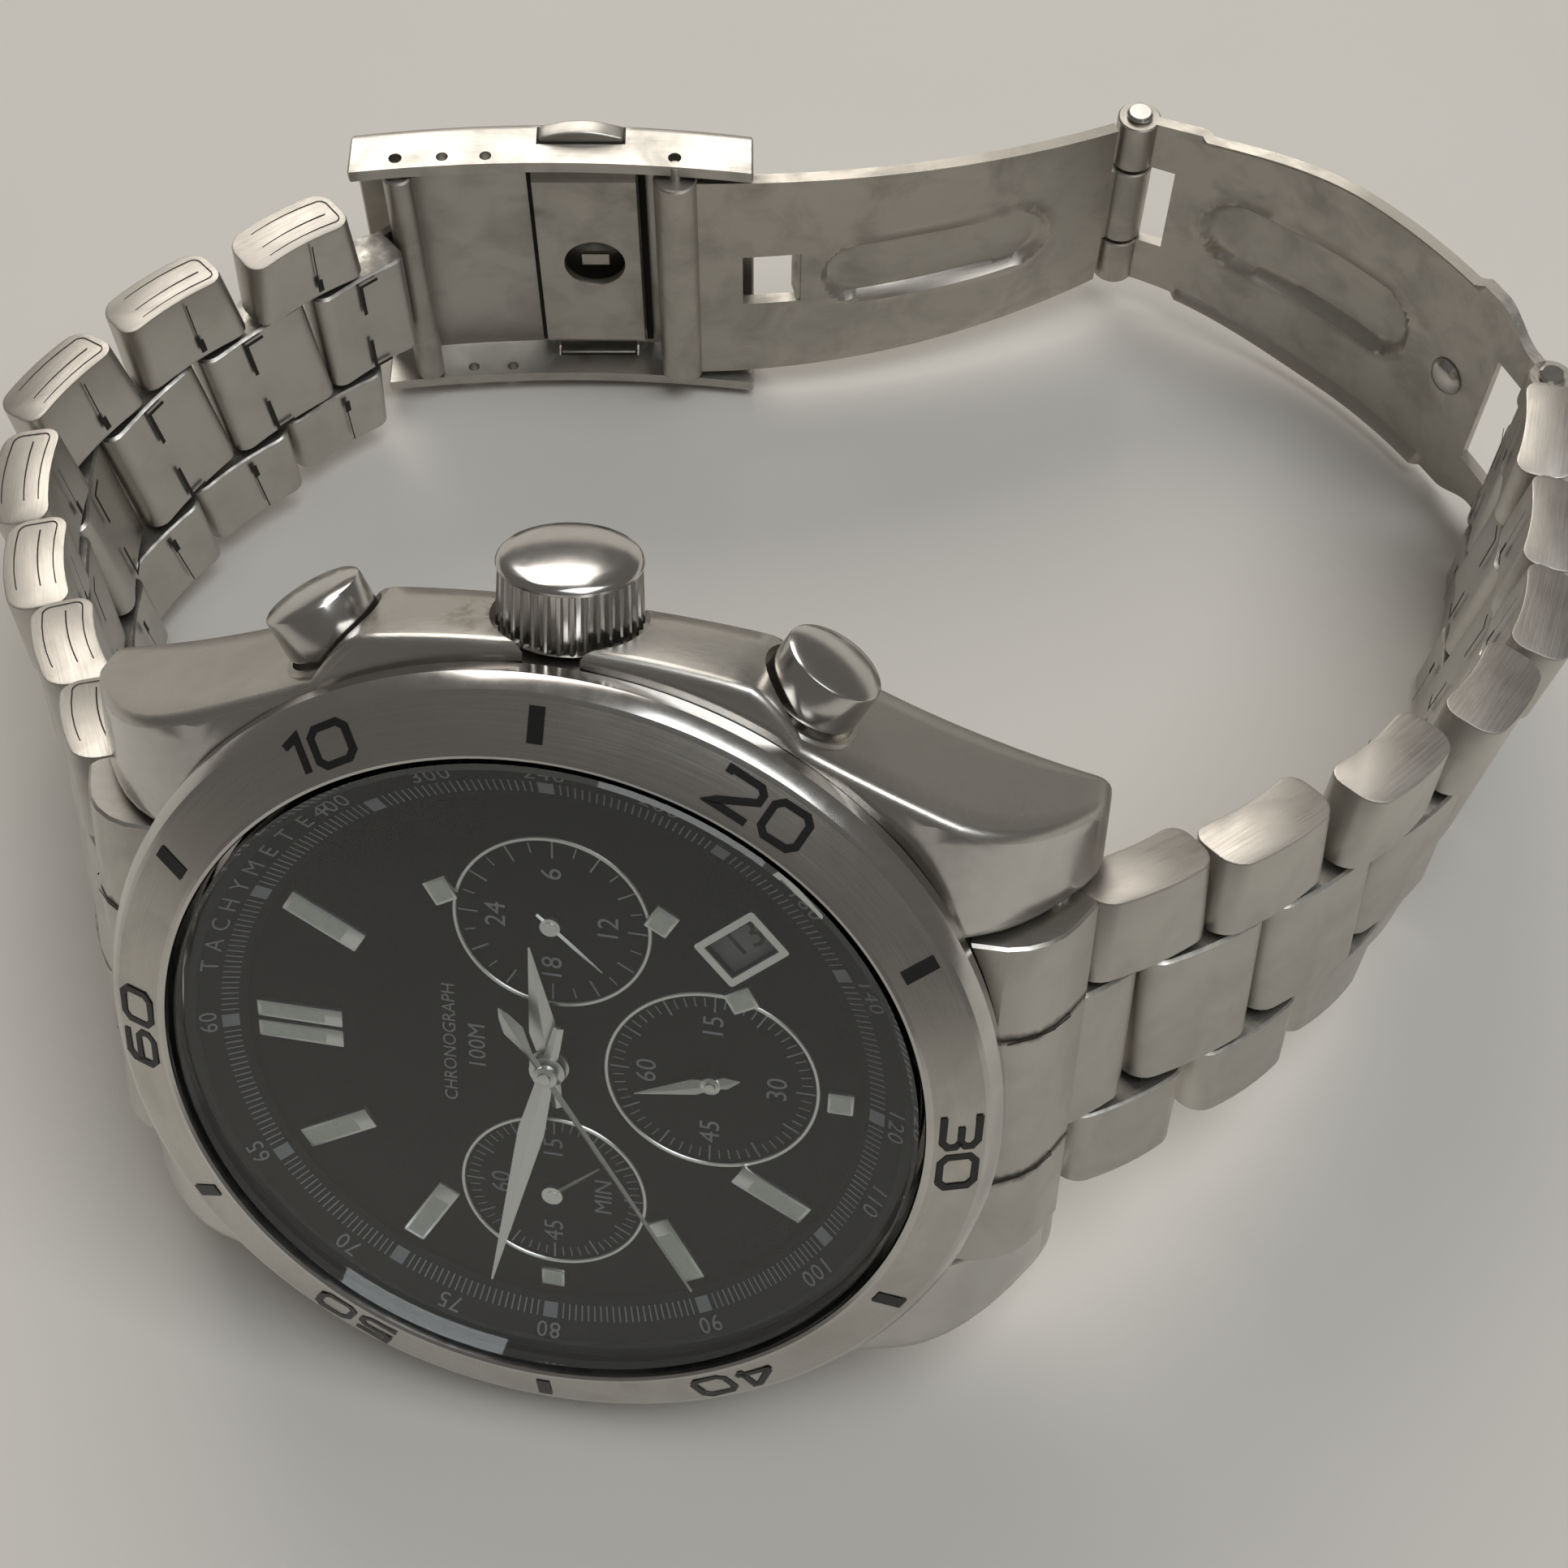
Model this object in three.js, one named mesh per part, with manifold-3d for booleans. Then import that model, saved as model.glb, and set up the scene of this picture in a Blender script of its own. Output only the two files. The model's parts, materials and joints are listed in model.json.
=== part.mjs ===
// A chronograph wristwatch with a dial, three counters, a crown, two pushers and a
// steel link bracelet with a fold-over clasp.  The watch lies on its nine o'clock side
// with the clasp unfolded, so the two halves of the bracelet close a loop behind it.
// Millimetres, +Z up.  The dial faces -Y and leans back, three o'clock points up.
import * as THREE from "three";
import { mergeVertices } from "three/addons/utils/BufferGeometryUtils.js";
import Module from "manifold-3d";

const wasm = await Module();
wasm.setup();

// ---- Driving dimensions ----------------------------------------------------------
const FIT = 0.3; // clearance between pieces that touch or slide
const CASE_R = 21.7; // case band
const CASE_TOP = -2.6; // heights are along the dial's normal, 0 on the bezel's numerals
const CASE_HEIGHT = 8.3;
const CASE_BOTTOM = CASE_TOP - CASE_HEIGHT;
const CASE_WALL = 3.3; // the band's wall round the movement
const BORE_R = CASE_R - CASE_WALL;
const FLANK_TAPER = 1.9; // how far the nine o'clock flank draws in
const BEZEL_R = CASE_R + 0.5;
const BEZEL_OPENING_R = BORE_R + FIT;
const BEZEL_TOP = 0.6;
const CRYSTAL_THICKNESS = 1.4;
const CRYSTAL_TOP = BEZEL_TOP - 0.1;
const DIAL_TOP = CASE_TOP - FIT;
const DIAL_THICKNESS = 0.4;
const DIAL_R = BORE_R - 0.7;
const SCALE_RING_WIDTH = 2.7;
const SCALE_RING_RISE = 0.85;
const DATE_RING_WIDTH = 4.1;
const MOVEMENT_R = 14.6;
const MOVEMENT_TOP = DIAL_TOP - DIAL_THICKNESS - 1.1;
const MOVEMENT_BOTTOM = CASE_BOTTOM + 1.3;
const BACK_FLANGE_R = CASE_R - 2.1;
const BACK_THICKNESS = 1.0;
const LUG_SPACE = 20; // the bracelet's width between the lugs
const LUG_WALL = 4.1;
const LUG_REACH = 3.5; // from the case band to the lug's tip
const LUG_TIP_X = CASE_R + LUG_REACH;
const LUG_TIP_Z = CASE_BOTTOM - 1.1;
const LUG_TIP_HEIGHT = 2.6;
const SPRING_BAR_R = 0.8; // the bars between the lugs
const SPRING_BAR_X = LUG_TIP_X - 2.1;
const SPRING_BAR_Z = CASE_BOTTOM + 2.9;
const SPRING_BAR_END = 2.3; // how far a bar reaches into each lug
const CROWN_R = 3.35;
const CROWN_LENGTH = 4.1;
const CROWN_BASE = CASE_R + 0.5; // from the centre of the dial to the underside of the crown
const CROWN_FLUTES = 24;
const CROWN_TRAVEL = 1.2; // how far the crown pulls out
const CONTROL_Z = CASE_TOP - 3.4; // height of the crown's and the pushers' axes
const PUSHER_R = 2.45;
const PUSHER_ANGLE = 29; // either side of the crown
const PUSHER_BASE = CASE_R + 1.2;
const PUSHER_LENGTH = 2.7;
const PUSHER_TRAVEL = 1.0;
const STEM_R = 0.6;
const PUSHER_STEM_R = 0.8;
const SLEEVE_R = 1.15; // the sleeve that moves with the crown
const SLEEVE_START = 10.3;
const SLEEVE_END = 11.9;
const CELL_R = 4.7; // the battery
const CELL_PLACE = [-6.5, -4.5];
const CELL_HEIGHT = 1.9;
const COIL_X = 6.5;
const COIL_R = 0.9;
const COIL_LENGTH = 8.8;
const COUNTER_3 = { r: 8.1, angle: 90, hand: 3.4 };
const COUNTER_6 = { r: 7.95, angle: 180, hand: 3.9 };
const COUNTER_9 = { r: 8.7, angle: 270, hand: 3.4 };
const DATE = { r: 12.3, angle: 138 };
const ARBOR_BORE = 0.65; // round the counters' arbors

const PITCH = 8.1; // from pin to pin along the bracelet
const LINKS = 7; // links in each half of the bracelet
const LINK_THICKNESS = 3.4;
const WIDTH_AT_LUGS = LUG_SPACE - 0.4;
const WIDTH_AT_CLASP = LUG_SPACE - 1.0;
const CENTRE_WIDTH = 8.3;
const CENTRE_GAP = 0.55; // between the centre row and the side rows
const PIN_R = 0.4;
const LINK_PLAY = 0.75; // radial play round a pin, which lets the bracelet twist
const SEAM = 0.6; // gap between two links at the edge of the centre row
const SEAM_FLARE = 0.7; // how much wider that gap is at the outer face
const FIRST_PITCH = 51; // slope of the end link's tongue, in degrees
const TONGUE = 3.0; // from the end link's shoulder to the first pin
const PIVOT_X = LUG_TIP_X + 0.6; // first pin, from the centre of the dial
const PIVOT_Z = LUG_TIP_Z + 1.0;
const CLASP_REACH = 2.0; // the clasp-side end link is longer by this

const COVER_LENGTH = 25.2;
const COVER_WIDTH = WIDTH_AT_CLASP + 1.6;
const COVER_DEPTH = 3.7;
const COVER_WALL = 0.8;
const COVER_BOW = 1.0;
const COVER_LEAD = 2.9; // cover's edge to the bracelet's spring bar
const COVER_HINGE_X = 17.4; // spring bar to the blade's hinge
const LATCH_TO_HINGE = 5.9; // from the latch hole to the blade's hinge
const LATCH_WIDTH = 6.6;
const BUTTON_LENGTH = 5.3;
const BUTTON_PROUD = 0.8;
const BUTTON_TRAVEL = 0.7;
const BUTTON_Z = -2.35;
const BUTTON_HEIGHT = 1.2;
const LATCH_X = COVER_HINGE_X - LATCH_TO_HINGE;
const LATCH_Z = -2.0;
const LATCH_HOLE_R = 2.0;
const BARREL_R = 1.4;
const BLADE_THICKNESS = 0.9;
const MIDDLE_BLADE = 31.0;
const LOWER_BLADE = 32.0;
const MIDDLE_BOW = 2.0;
const LOWER_BOW = 3.6;
const BLADE_WIDTH = COVER_WIDTH - 3.2;
const HINGE_WIDTH = 14.2; // across the knuckles between the two blades
const TAB_WIDTH = 6.2;
const END_FORK = HINGE_WIDTH + 0.4; // across the knuckles at the bracelet
const STUD_R = 0.8;
const STUD_X = MIDDLE_BLADE - LATCH_TO_HINGE; // folded, it meets the latch hole

// How the watch lies: the head leans back, and each link turns from the one before it.
const HEAD_LEAN = 26.5;
const HEAD_ROLL = 1.6;
const HALF_6 = {
  side: 1,
  bend: [42, 6, 8, 10, 14, 6, 1],
  twist: [4.25, 3.75, 6.25, 6.25, 2.25, -3.75, -6],
  sway: [5, 4.5, -1.5, -2.25, 2, 4.5, 5.25],
};
const HALF_12 = {
  side: -1,
  bend: [60, -1, 9, 9, 39, 14, 2],
  twist: [-1.75, -3.75, -4.75, -4.5, -2, 2.25, 6.25],
  sway: [4.75, 5.25, 5.75, 5.5, 0.75, -2.25, -3],
};
const COVER_HEADING = 10.6; // degrees from +X, seen from above
const CLASP_TILT = 1.2; // degrees by which the clasp's pins lean towards +X

// ---- Colours ---------------------------------------------------------------------
const steel = (shade = 0xb4b0a8, roughness = 0.35) =>
  new THREE.MeshStandardMaterial({ color: shade, roughness, metalness: 1 });
const brushed = steel(0xa8a49b, 0.42);
const polished = steel(0xc4c1bb, 0.15);
const pressed = steel(0xaaa598, 0.5);
const black = new THREE.MeshStandardMaterial({ color: 0x0a0a0b, roughness: 0.45 });
const glass = new THREE.MeshStandardMaterial({
  color: 0xdfe8ea,
  roughness: 0.03,
  transparent: true,
  opacity: 0.3,
});
const white = new THREE.MeshStandardMaterial({ color: 0xd8d8d4, roughness: 0.6 });
const brass = steel(0xb08a4a, 0.4);
const copper = new THREE.MeshStandardMaterial({ color: 0xb06a3c, roughness: 0.5 });
const rubber = new THREE.MeshStandardMaterial({ color: 0x15150f, roughness: 0.9 });
const plastic = new THREE.MeshStandardMaterial({ color: 0xe6e2d6, roughness: 0.5 });

// ---- Helpers ---------------------------------------------------------------------
const rad = THREE.MathUtils.degToRad;

// A closed geometry as a manifold solid.
function solid(geometry) {
  const bare = geometry.index ? geometry.toNonIndexed() : geometry.clone();
  bare.deleteAttribute("normal");
  bare.deleteAttribute("uv");
  const merged = mergeVertices(bare, 1e-4);
  return new wasm.Manifold(
    new wasm.Mesh({
      numProp: 3,
      vertProperties: new Float32Array(merged.attributes.position.array),
      triVerts: new Uint32Array(merged.index.array),
    }),
  );
}

function geometryOf(manifold) {
  const mesh = manifold.getMesh();
  const geometry = new THREE.BufferGeometry();
  const positions = new Float32Array(mesh.numVert * 3);
  for (let i = 0; i < mesh.numVert; i++)
    for (let k = 0; k < 3; k++)
      positions[3 * i + k] = mesh.vertProperties[mesh.numProp * i + k];
  geometry.setAttribute("position", new THREE.BufferAttribute(positions, 3));
  geometry.setIndex(new THREE.BufferAttribute(new Uint32Array(mesh.triVerts), 1));
  geometry.computeVertexNormals();
  return geometry;
}

const union = (first, ...rest) => rest.reduce((sum, next) => sum.add(next), first);
const cut = (first, ...rest) => rest.reduce((sum, next) => sum.subtract(next), first);

// A box given by its two extreme corners.
function box(x0, x1, y0, y1, z0, z1) {
  const g = new THREE.BoxGeometry(x1 - x0, y1 - y0, z1 - z0);
  g.translate((x0 + x1) / 2, (y0 + y1) / 2, (z0 + z1) / 2);
  return g;
}

// A round bar along Y between two stations, centred on (x, z).
function barY(radius, y0, y1, x = 0, z = 0, sides = 12) {
  const g = new THREE.CylinderGeometry(radius, radius, y1 - y0, sides);
  g.translate(x, (y0 + y1) / 2, z);
  return g;
}

// A round disc along Z.
function discZ(radius, z0, z1, x = 0, y = 0, sides = 24) {
  const g = new THREE.CylinderGeometry(radius, radius, z1 - z0, sides);
  g.rotateX(Math.PI / 2);
  g.translate(x, y, (z0 + z1) / 2);
  return g;
}

// A ring or disc turned round Z from a closed [radius, z] profile, counter-clockwise.
function turned(profile, sides = 48) {
  const points = profile.map(([r, z]) => new THREE.Vector2(r, z));
  points.push(points[0].clone());
  const g = new THREE.LatheGeometry(points, sides);
  g.rotateX(Math.PI / 2);
  return g;
}

function ring(inner, outer, z0, z1, sides = 48) {
  return turned(
    [
      [inner, z0],
      [outer, z0],
      [outer, z1],
      [inner, z1],
    ],
    sides,
  );
}

// An outline in XY pushed up from z0 to z1.
function slab(points, z0, z1, curveSegments = 8) {
  const shape = points instanceof THREE.Shape
    ? points
    : new THREE.Shape(points.map(([x, y]) => new THREE.Vector2(x, y)));
  const g = new THREE.ExtrudeGeometry(shape, {
    depth: z1 - z0,
    bevelEnabled: false,
    curveSegments,
  });
  g.translate(0, 0, z0);
  return g;
}

// An outline in XZ pushed along Y from y0 to y1.
function slabXZ(points, y0, y1, curveSegments = 6) {
  const g = slab(points, -y1, -y0, curveSegments);
  g.rotateX(Math.PI / 2);
  return g;
}

// A rectangle with round corners.
function roundedRectangle(x0, x1, z0, z1, r) {
  const s = new THREE.Shape();
  s.moveTo(x0 + r, z0);
  s.lineTo(x1 - r, z0);
  s.absarc(x1 - r, z0 + r, r, -Math.PI / 2, 0);
  s.lineTo(x1, z1 - r);
  s.absarc(x1 - r, z1 - r, r, 0, Math.PI / 2);
  s.lineTo(x0 + r, z1);
  s.absarc(x0 + r, z1 - r, r, Math.PI / 2, Math.PI);
  s.lineTo(x0, z0 + r);
  s.absarc(x0 + r, z0 + r, r, Math.PI, 1.5 * Math.PI);
  return s;
}

// A bar of rectangular section along X, bowed in Z: section(t) gives its width and
// rise at t from 0 to 1, and its thickness is the same all along.
function bowedStrip(x0, x1, z0, z1, steps, section) {
  const positions = [];
  const corner = [];
  for (let i = 0; i <= steps; i++) {
    const t = i / steps;
    const { width, rise } = section(t);
    const x = x0 + (x1 - x0) * t;
    corner.push([
      [x, -width / 2, z0 + rise],
      [x, width / 2, z0 + rise],
      [x, width / 2, z1 + rise],
      [x, -width / 2, z1 + rise],
    ]);
  }
  const quad = (a, b, c, d) => positions.push(...a, ...b, ...c, ...a, ...c, ...d);
  for (let i = 0; i < steps; i++)
    for (let k = 0; k < 4; k++) {
      const n = (k + 1) % 4;
      quad(corner[i][k], corner[i][n], corner[i + 1][n], corner[i + 1][k]);
    }
  const [a, b] = [corner[0], corner[steps]];
  quad(a[3], a[2], a[1], a[0]);
  quad(b[0], b[1], b[2], b[3]);
  const g = new THREE.BufferGeometry();
  g.setAttribute("position", new THREE.Float32BufferAttribute(positions, 3));
  return g;
}

function part(name, shape, material, parent) {
  const geometry = shape.isBufferGeometry ? shape : geometryOf(shape);
  const mesh = new THREE.Mesh(geometry, material.clone());
  mesh.name = name;
  parent.add(mesh);
  return mesh;
}

// A group that stands at a joint; its userData says how it moves.
function jointed(parent, name, type, axis) {
  const group = new THREE.Group();
  group.userData.joint = { name, type, axis };
  parent.add(group);
  return group;
}

// A point on the dial: angle in degrees clockwise from twelve, which is at -X.
function onDial(r, angle) {
  return [-r * Math.cos(rad(angle)), r * Math.sin(rad(angle))];
}

// ---- The head ---------------------------------------------------------------------
// Local axes: X to six o'clock, Y to three o'clock, Z out of the dial.

// The case seen from the front: round band, crown guards and four lugs.
function caseOutline() {
  const s = new THREE.Shape();
  const lugIn = LUG_SPACE / 2 + 0.1;
  const lugOut = lugIn + LUG_WALL;
  const guardY = CASE_R + 1.1;
  const rootX = CASE_R * 0.516; // where a lug leaves the band
  const rootY = Math.sqrt(CASE_R ** 2 - rootX ** 2);
  const upperRoot = rootY + 0.8;
  const waist = [LUG_TIP_X * 0.695, (rootY + lugOut) / 2];
  const nook = CASE_R - 9.7; // the space between the lugs starts here
  s.moveTo(rootX, upperRoot);
  s.quadraticCurveTo(...waist, LUG_TIP_X, lugOut);
  s.lineTo(LUG_TIP_X, lugIn);
  s.lineTo(nook, lugIn);
  s.lineTo(nook, -lugIn);
  s.lineTo(LUG_TIP_X, -lugIn);
  s.lineTo(LUG_TIP_X, -lugOut);
  s.quadraticCurveTo(waist[0], -waist[1], rootX, -rootY);
  s.quadraticCurveTo(CASE_R / 4, -CASE_R, 0, -CASE_R);
  s.quadraticCurveTo(-CASE_R / 4, -CASE_R, -rootX, -rootY);
  s.quadraticCurveTo(-waist[0], -waist[1], -LUG_TIP_X, -lugOut);
  s.lineTo(-LUG_TIP_X, -lugIn);
  s.lineTo(-nook, -lugIn);
  s.lineTo(-nook, lugIn);
  s.lineTo(-LUG_TIP_X, lugIn);
  s.lineTo(-LUG_TIP_X, lugOut);
  s.quadraticCurveTo(-waist[0], waist[1], -rootX, upperRoot);
  s.lineTo(2 - rootX, guardY - 0.6);
  s.quadraticCurveTo(0, guardY + 0.5, rootX - 2, guardY - 0.6);
  return s;
}

// The case seen from the twelve-to-six side: lugs that curve down to their tips.
function lugSide() {
  const s = new THREE.Shape();
  const tip = LUG_TIP_X;
  const flat = CASE_R - 3.1; // the top stays flat as far as this
  const sole = CASE_R - 7.7; // and the back as far as this
  s.moveTo(-tip, LUG_TIP_Z);
  s.quadraticCurveTo(5.2 - tip, CASE_BOTTOM + 0.3, -sole, CASE_BOTTOM);
  s.lineTo(sole, CASE_BOTTOM);
  s.quadraticCurveTo(tip - 5.2, CASE_BOTTOM + 0.3, tip, LUG_TIP_Z);
  s.lineTo(tip, LUG_TIP_Z + LUG_TIP_HEIGHT);
  s.quadraticCurveTo(tip - 0.8, CASE_TOP - 2.2, flat, CASE_TOP);
  s.lineTo(-flat, CASE_TOP);
  s.quadraticCurveTo(0.8 - tip, CASE_TOP - 2.2, -tip, LUG_TIP_Z + LUG_TIP_HEIGHT);
  return s;
}

function caseMiddle() {
  const plan = solid(slab(caseOutline(), LUG_TIP_Z - 1, CASE_TOP, 8));
  const side = solid(slabXZ(lugSide(), -40, 40, 8));
  const flank = slab(
    [
      [-CASE_R, CASE_TOP],
      [-CASE_R, CASE_BOTTOM + 0.54 * CASE_HEIGHT],
      [-CASE_R + FLANK_TAPER, CASE_BOTTOM],
      [-CASE_R + FLANK_TAPER, LUG_TIP_Z - 2],
      [CASE_R + 2, LUG_TIP_Z - 2],
      [CASE_R + 2, CASE_TOP],
    ],
    -40,
    40,
  );
  flank.rotateX(Math.PI / 2);
  flank.rotateZ(Math.PI / 2);
  const band = solid(ring(BORE_R, CASE_R, CASE_BOTTOM, CASE_TOP));
  const body = union(plan, band).intersect(side).intersect(solid(flank));
  const holes = [
    solid(discZ(BORE_R, -20, 5, 0, 0, 48)),
    radialBar(STEM_R + FIT, BORE_R - 8, CASE_R + 8, 0),
    radialBar(CROWN_R + FIT, CROWN_BASE - FIT, CASE_R + 8, 0, 24),
  ];
  const pressed = PUSHER_BASE - PUSHER_TRAVEL - FIT;
  for (const angle of [-PUSHER_ANGLE, PUSHER_ANGLE]) {
    holes.push(radialBar(PUSHER_STEM_R + FIT, BORE_R - 8, CASE_R + 8, angle));
    holes.push(radialBar(PUSHER_R + FIT, pressed, CASE_R + 8, angle, 24));
  }
  const deep = LUG_SPACE / 2 + SPRING_BAR_END + FIT;
  for (const end of [-1, 1])
    holes.push(solid(barY(SPRING_BAR_R + FIT, -deep, deep, end * SPRING_BAR_X, SPRING_BAR_Z)));
  return cut(body, ...holes);
}

// A bar that points out of the case at an angle from three o'clock.
function radialBar(radius, r0, r1, angle, sides = 12) {
  const g = barY(radius, r0, r1, 0, 0, sides);
  g.rotateZ(-rad(angle));
  g.translate(0, 0, CONTROL_Z);
  return solid(g);
}

function bezelProfile() {
  return [
    [BEZEL_OPENING_R, CASE_TOP + FIT],
    [BEZEL_R, CASE_TOP + FIT],
    [BEZEL_R, BEZEL_TOP - 1.75],
    [BEZEL_R - 0.5, BEZEL_TOP - 1.1],
    [BEZEL_OPENING_R + 0.35, BEZEL_TOP],
    [BEZEL_OPENING_R, BEZEL_TOP - 0.25],
  ];
}

function dialPlate() {
  const plate = solid(discZ(DIAL_R, DIAL_TOP - DIAL_THICKNESS, DIAL_TOP, 0, 0, 48));
  const holes = [solid(discZ(1.2, DIAL_TOP - 3, 0, 0, 0, 16))];
  for (const c of [COUNTER_3, COUNTER_6, COUNTER_9]) {
    const [x, y] = onDial(c.r, c.angle);
    holes.push(solid(discZ(ARBOR_BORE, DIAL_TOP - 3, 0, x, y, 12)));
  }
  const window = box(-1.5, 1.5, -1.1, 1.1, DIAL_TOP - 3, 0);
  window.rotateZ(-rad(DATE.angle));
  window.translate(...onDial(DATE.r, DATE.angle), 0);
  holes.push(solid(window));
  return cut(plate, ...holes);
}

// The movement, with pockets for the cell and the coil, and bores for the stem,
// the pusher levers and the hands' arbors.
function movementBody() {
  const holes = [
    solid(discZ(CELL_R + FIT, -20, MOVEMENT_BOTTOM + CELL_HEIGHT + 0.1 + FIT, ...CELL_PLACE, 24)),
    solid(coilPocket()),
    radialBar(STEM_R + FIT, SLEEVE_START - 0.8, 30, 0),
    radialBar(SLEEVE_R + FIT, SLEEVE_START - FIT, SLEEVE_END + CROWN_TRAVEL + FIT, 0),
  ];
  for (const [x, y] of arborPlaces())
    holes.push(solid(discZ(ARBOR_BORE, MOVEMENT_TOP - 1.2, 0, x, y, 12)));
  return cut(solid(discZ(MOVEMENT_R, MOVEMENT_BOTTOM, MOVEMENT_TOP, 0, 0, 32)), ...holes);
}

function coilPocket() {
  const side = COIL_R + FIT + 0.1;
  const end = COIL_LENGTH / 2 + FIT + 0.3;
  return box(COIL_X - side, COIL_X + side, -end, end, -20, MOVEMENT_BOTTOM + 2 * side);
}

function arborPlaces() {
  return [[0, 0], ...[COUNTER_3, COUNTER_6, COUNTER_9].map((c) => onDial(c.r, c.angle))];
}

function movementHolder() {
  const low = MOVEMENT_BOTTOM - 0.6;
  const body = solid(ring(MOVEMENT_R + FIT, BORE_R - 0.5, low, MOVEMENT_TOP + 0.5, 32));
  return cut(
    body,
    radialBar(STEM_R + 2 * FIT, 9, 30, 0),
    radialBar(PUSHER_STEM_R + FIT, 9, 30, PUSHER_ANGLE),
    radialBar(PUSHER_STEM_R + FIT, 9, 30, -PUSHER_ANGLE),
  );
}

// The crown: a fluted drum with a domed cap, its axis along Y.
function crownBody() {
  const flutes = new THREE.Shape();
  const count = CROWN_FLUTES * 2;
  for (let i = 0; i < count; i++) {
    const r = i % 2 ? CROWN_R : CROWN_R - 0.28;
    const a = (2 * Math.PI * i) / count;
    flutes[i ? "lineTo" : "moveTo"](r * Math.cos(a), r * Math.sin(a));
  }
  const drum = slab(flutes, CROWN_BASE, CROWN_BASE + CROWN_LENGTH - 0.9);
  const cap = new THREE.LatheGeometry(
    [
      [0, CROWN_BASE + CROWN_LENGTH - 1.2],
      [CROWN_R - 0.3, CROWN_BASE + CROWN_LENGTH - 1.2],
      [CROWN_R - 0.3, CROWN_BASE + CROWN_LENGTH - 0.6],
      [CROWN_R * 0.55, CROWN_BASE + CROWN_LENGTH - 0.12],
      [0, CROWN_BASE + CROWN_LENGTH],
    ].map(([r, z]) => new THREE.Vector2(r, z)),
    24,
  );
  drum.rotateX(-Math.PI / 2);
  const recess = barY(STEM_R + FIT, CROWN_BASE - 1, CROWN_BASE + 2, 0, 0, 16);
  return cut(union(solid(drum), solid(cap)), solid(recess));
}

// The sleeve in the movement that the crown's stem turns in and pulls along.
function settingSleeve() {
  return cut(
    solid(barY(SLEEVE_R, SLEEVE_START, SLEEVE_END, 0, 0, 16)),
    solid(barY(STEM_R + 0.2, SLEEVE_START - 1, SLEEVE_END + 1, 0, 0, 12)),
  );
}

function pusherBody() {
  const top = PUSHER_BASE + PUSHER_LENGTH;
  const cap = new THREE.LatheGeometry(
    [
      [0, PUSHER_BASE],
      [PUSHER_R - 0.15, PUSHER_BASE],
      [PUSHER_R, PUSHER_BASE + 0.2],
      [PUSHER_R, top - 0.7],
      [PUSHER_R - 0.35, top - 0.25],
      [0, top],
    ].map(([r, z]) => new THREE.Vector2(r, z)),
    24,
  );
  const stem = barY(PUSHER_STEM_R, BORE_R - 2.2, PUSHER_BASE + 0.5, 0, 0, 12);
  return union(solid(cap), solid(stem));
}

// A hand: a tapered blade along +X from a hub, with a tail, on its own tube or arbor.
function hand({ length, width, tail, tailWidth, z, hub, bore, arbor }) {
  const blade = slab(
    [
      [-tail, 0],
      [-tail * 0.6, -tailWidth / 2],
      [0, -width * 0.35],
      [length * 0.22, -width / 2],
      [length, -0.08],
      [length, 0.08],
      [length * 0.22, width / 2],
      [0, width * 0.35],
      [-tail * 0.6, tailWidth / 2],
    ],
    z,
    z + 0.18,
  );
  let body = union(solid(blade), solid(discZ(hub, z - 0.05, z + 0.25, 0, 0, 16)));
  if (bore) body = cut(body, solid(discZ(bore, z - 1, z + 1, 0, 0, 12)));
  if (arbor) body = union(body, solid(discZ(arbor, MOVEMENT_TOP - 0.8, z + 0.1, 0, 0, 8)));
  return body;
}

// The piece between the lugs that carries the bracelet's first pin.
function endLink(side) {
  const half = LUG_SPACE / 2 - FIT + 0.1;
  const slope = rad(FIRST_PITCH);
  const along = [Math.cos(slope), -Math.sin(slope)];
  const out = [Math.sin(slope), Math.cos(slope)];
  const at = (a, o) => [
    PIVOT_X + a * along[0] + o * out[0],
    PIVOT_Z + a * along[1] + o * out[1],
  ];
  const root = CASE_R - 4.2;
  const sole = CASE_BOTTOM + 0.7;
  const profile = [
    [root, CASE_TOP - 0.4],
    [CASE_R + FIT, CASE_TOP - 0.5],
    [LUG_TIP_X - 1.3, CASE_TOP - 2.3],
    at(-TONGUE, LINK_THICKNESS / 2 - 0.1),
    at(-TONGUE, 0.2 - LINK_THICKNESS / 2),
    [CASE_R - 0.5, sole],
    [root, sole],
  ];
  const wings = solid(slabXZ(profile.reverse(), -half, half));
  const thick = LINK_THICKNESS / 2 - 0.1;
  const nose = PITCH / 4 - SEAM / 2;
  const face = roundedRectangle(-TONGUE - 0.4, nose, -thick, thick, 1.2);
  const tongue = slabXZ(face, -CENTRE_WIDTH / 2, CENTRE_WIDTH / 2);
  tongue.rotateY(slope);
  tongue.translate(PIVOT_X, 0, PIVOT_Z);
  const bar = barY(SPRING_BAR_R + FIT, -12, 12, SPRING_BAR_X, SPRING_BAR_Z);
  const body = cut(
    union(wings, solid(tongue)),
    solid(discZ(CASE_R + FIT, -30, 5, 0, 0, 48)),
    solid(discZ(BEZEL_R + FIT, CASE_TOP - 0.1, 5, 0, 0, 48)),
    solid(bar),
    solid(barY(PIN_R + LINK_PLAY, -12, 12, PIVOT_X, PIVOT_Z, 12)),
  );
  const g = geometryOf(body);
  if (side < 0) g.rotateZ(Math.PI);
  return g;
}

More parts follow.
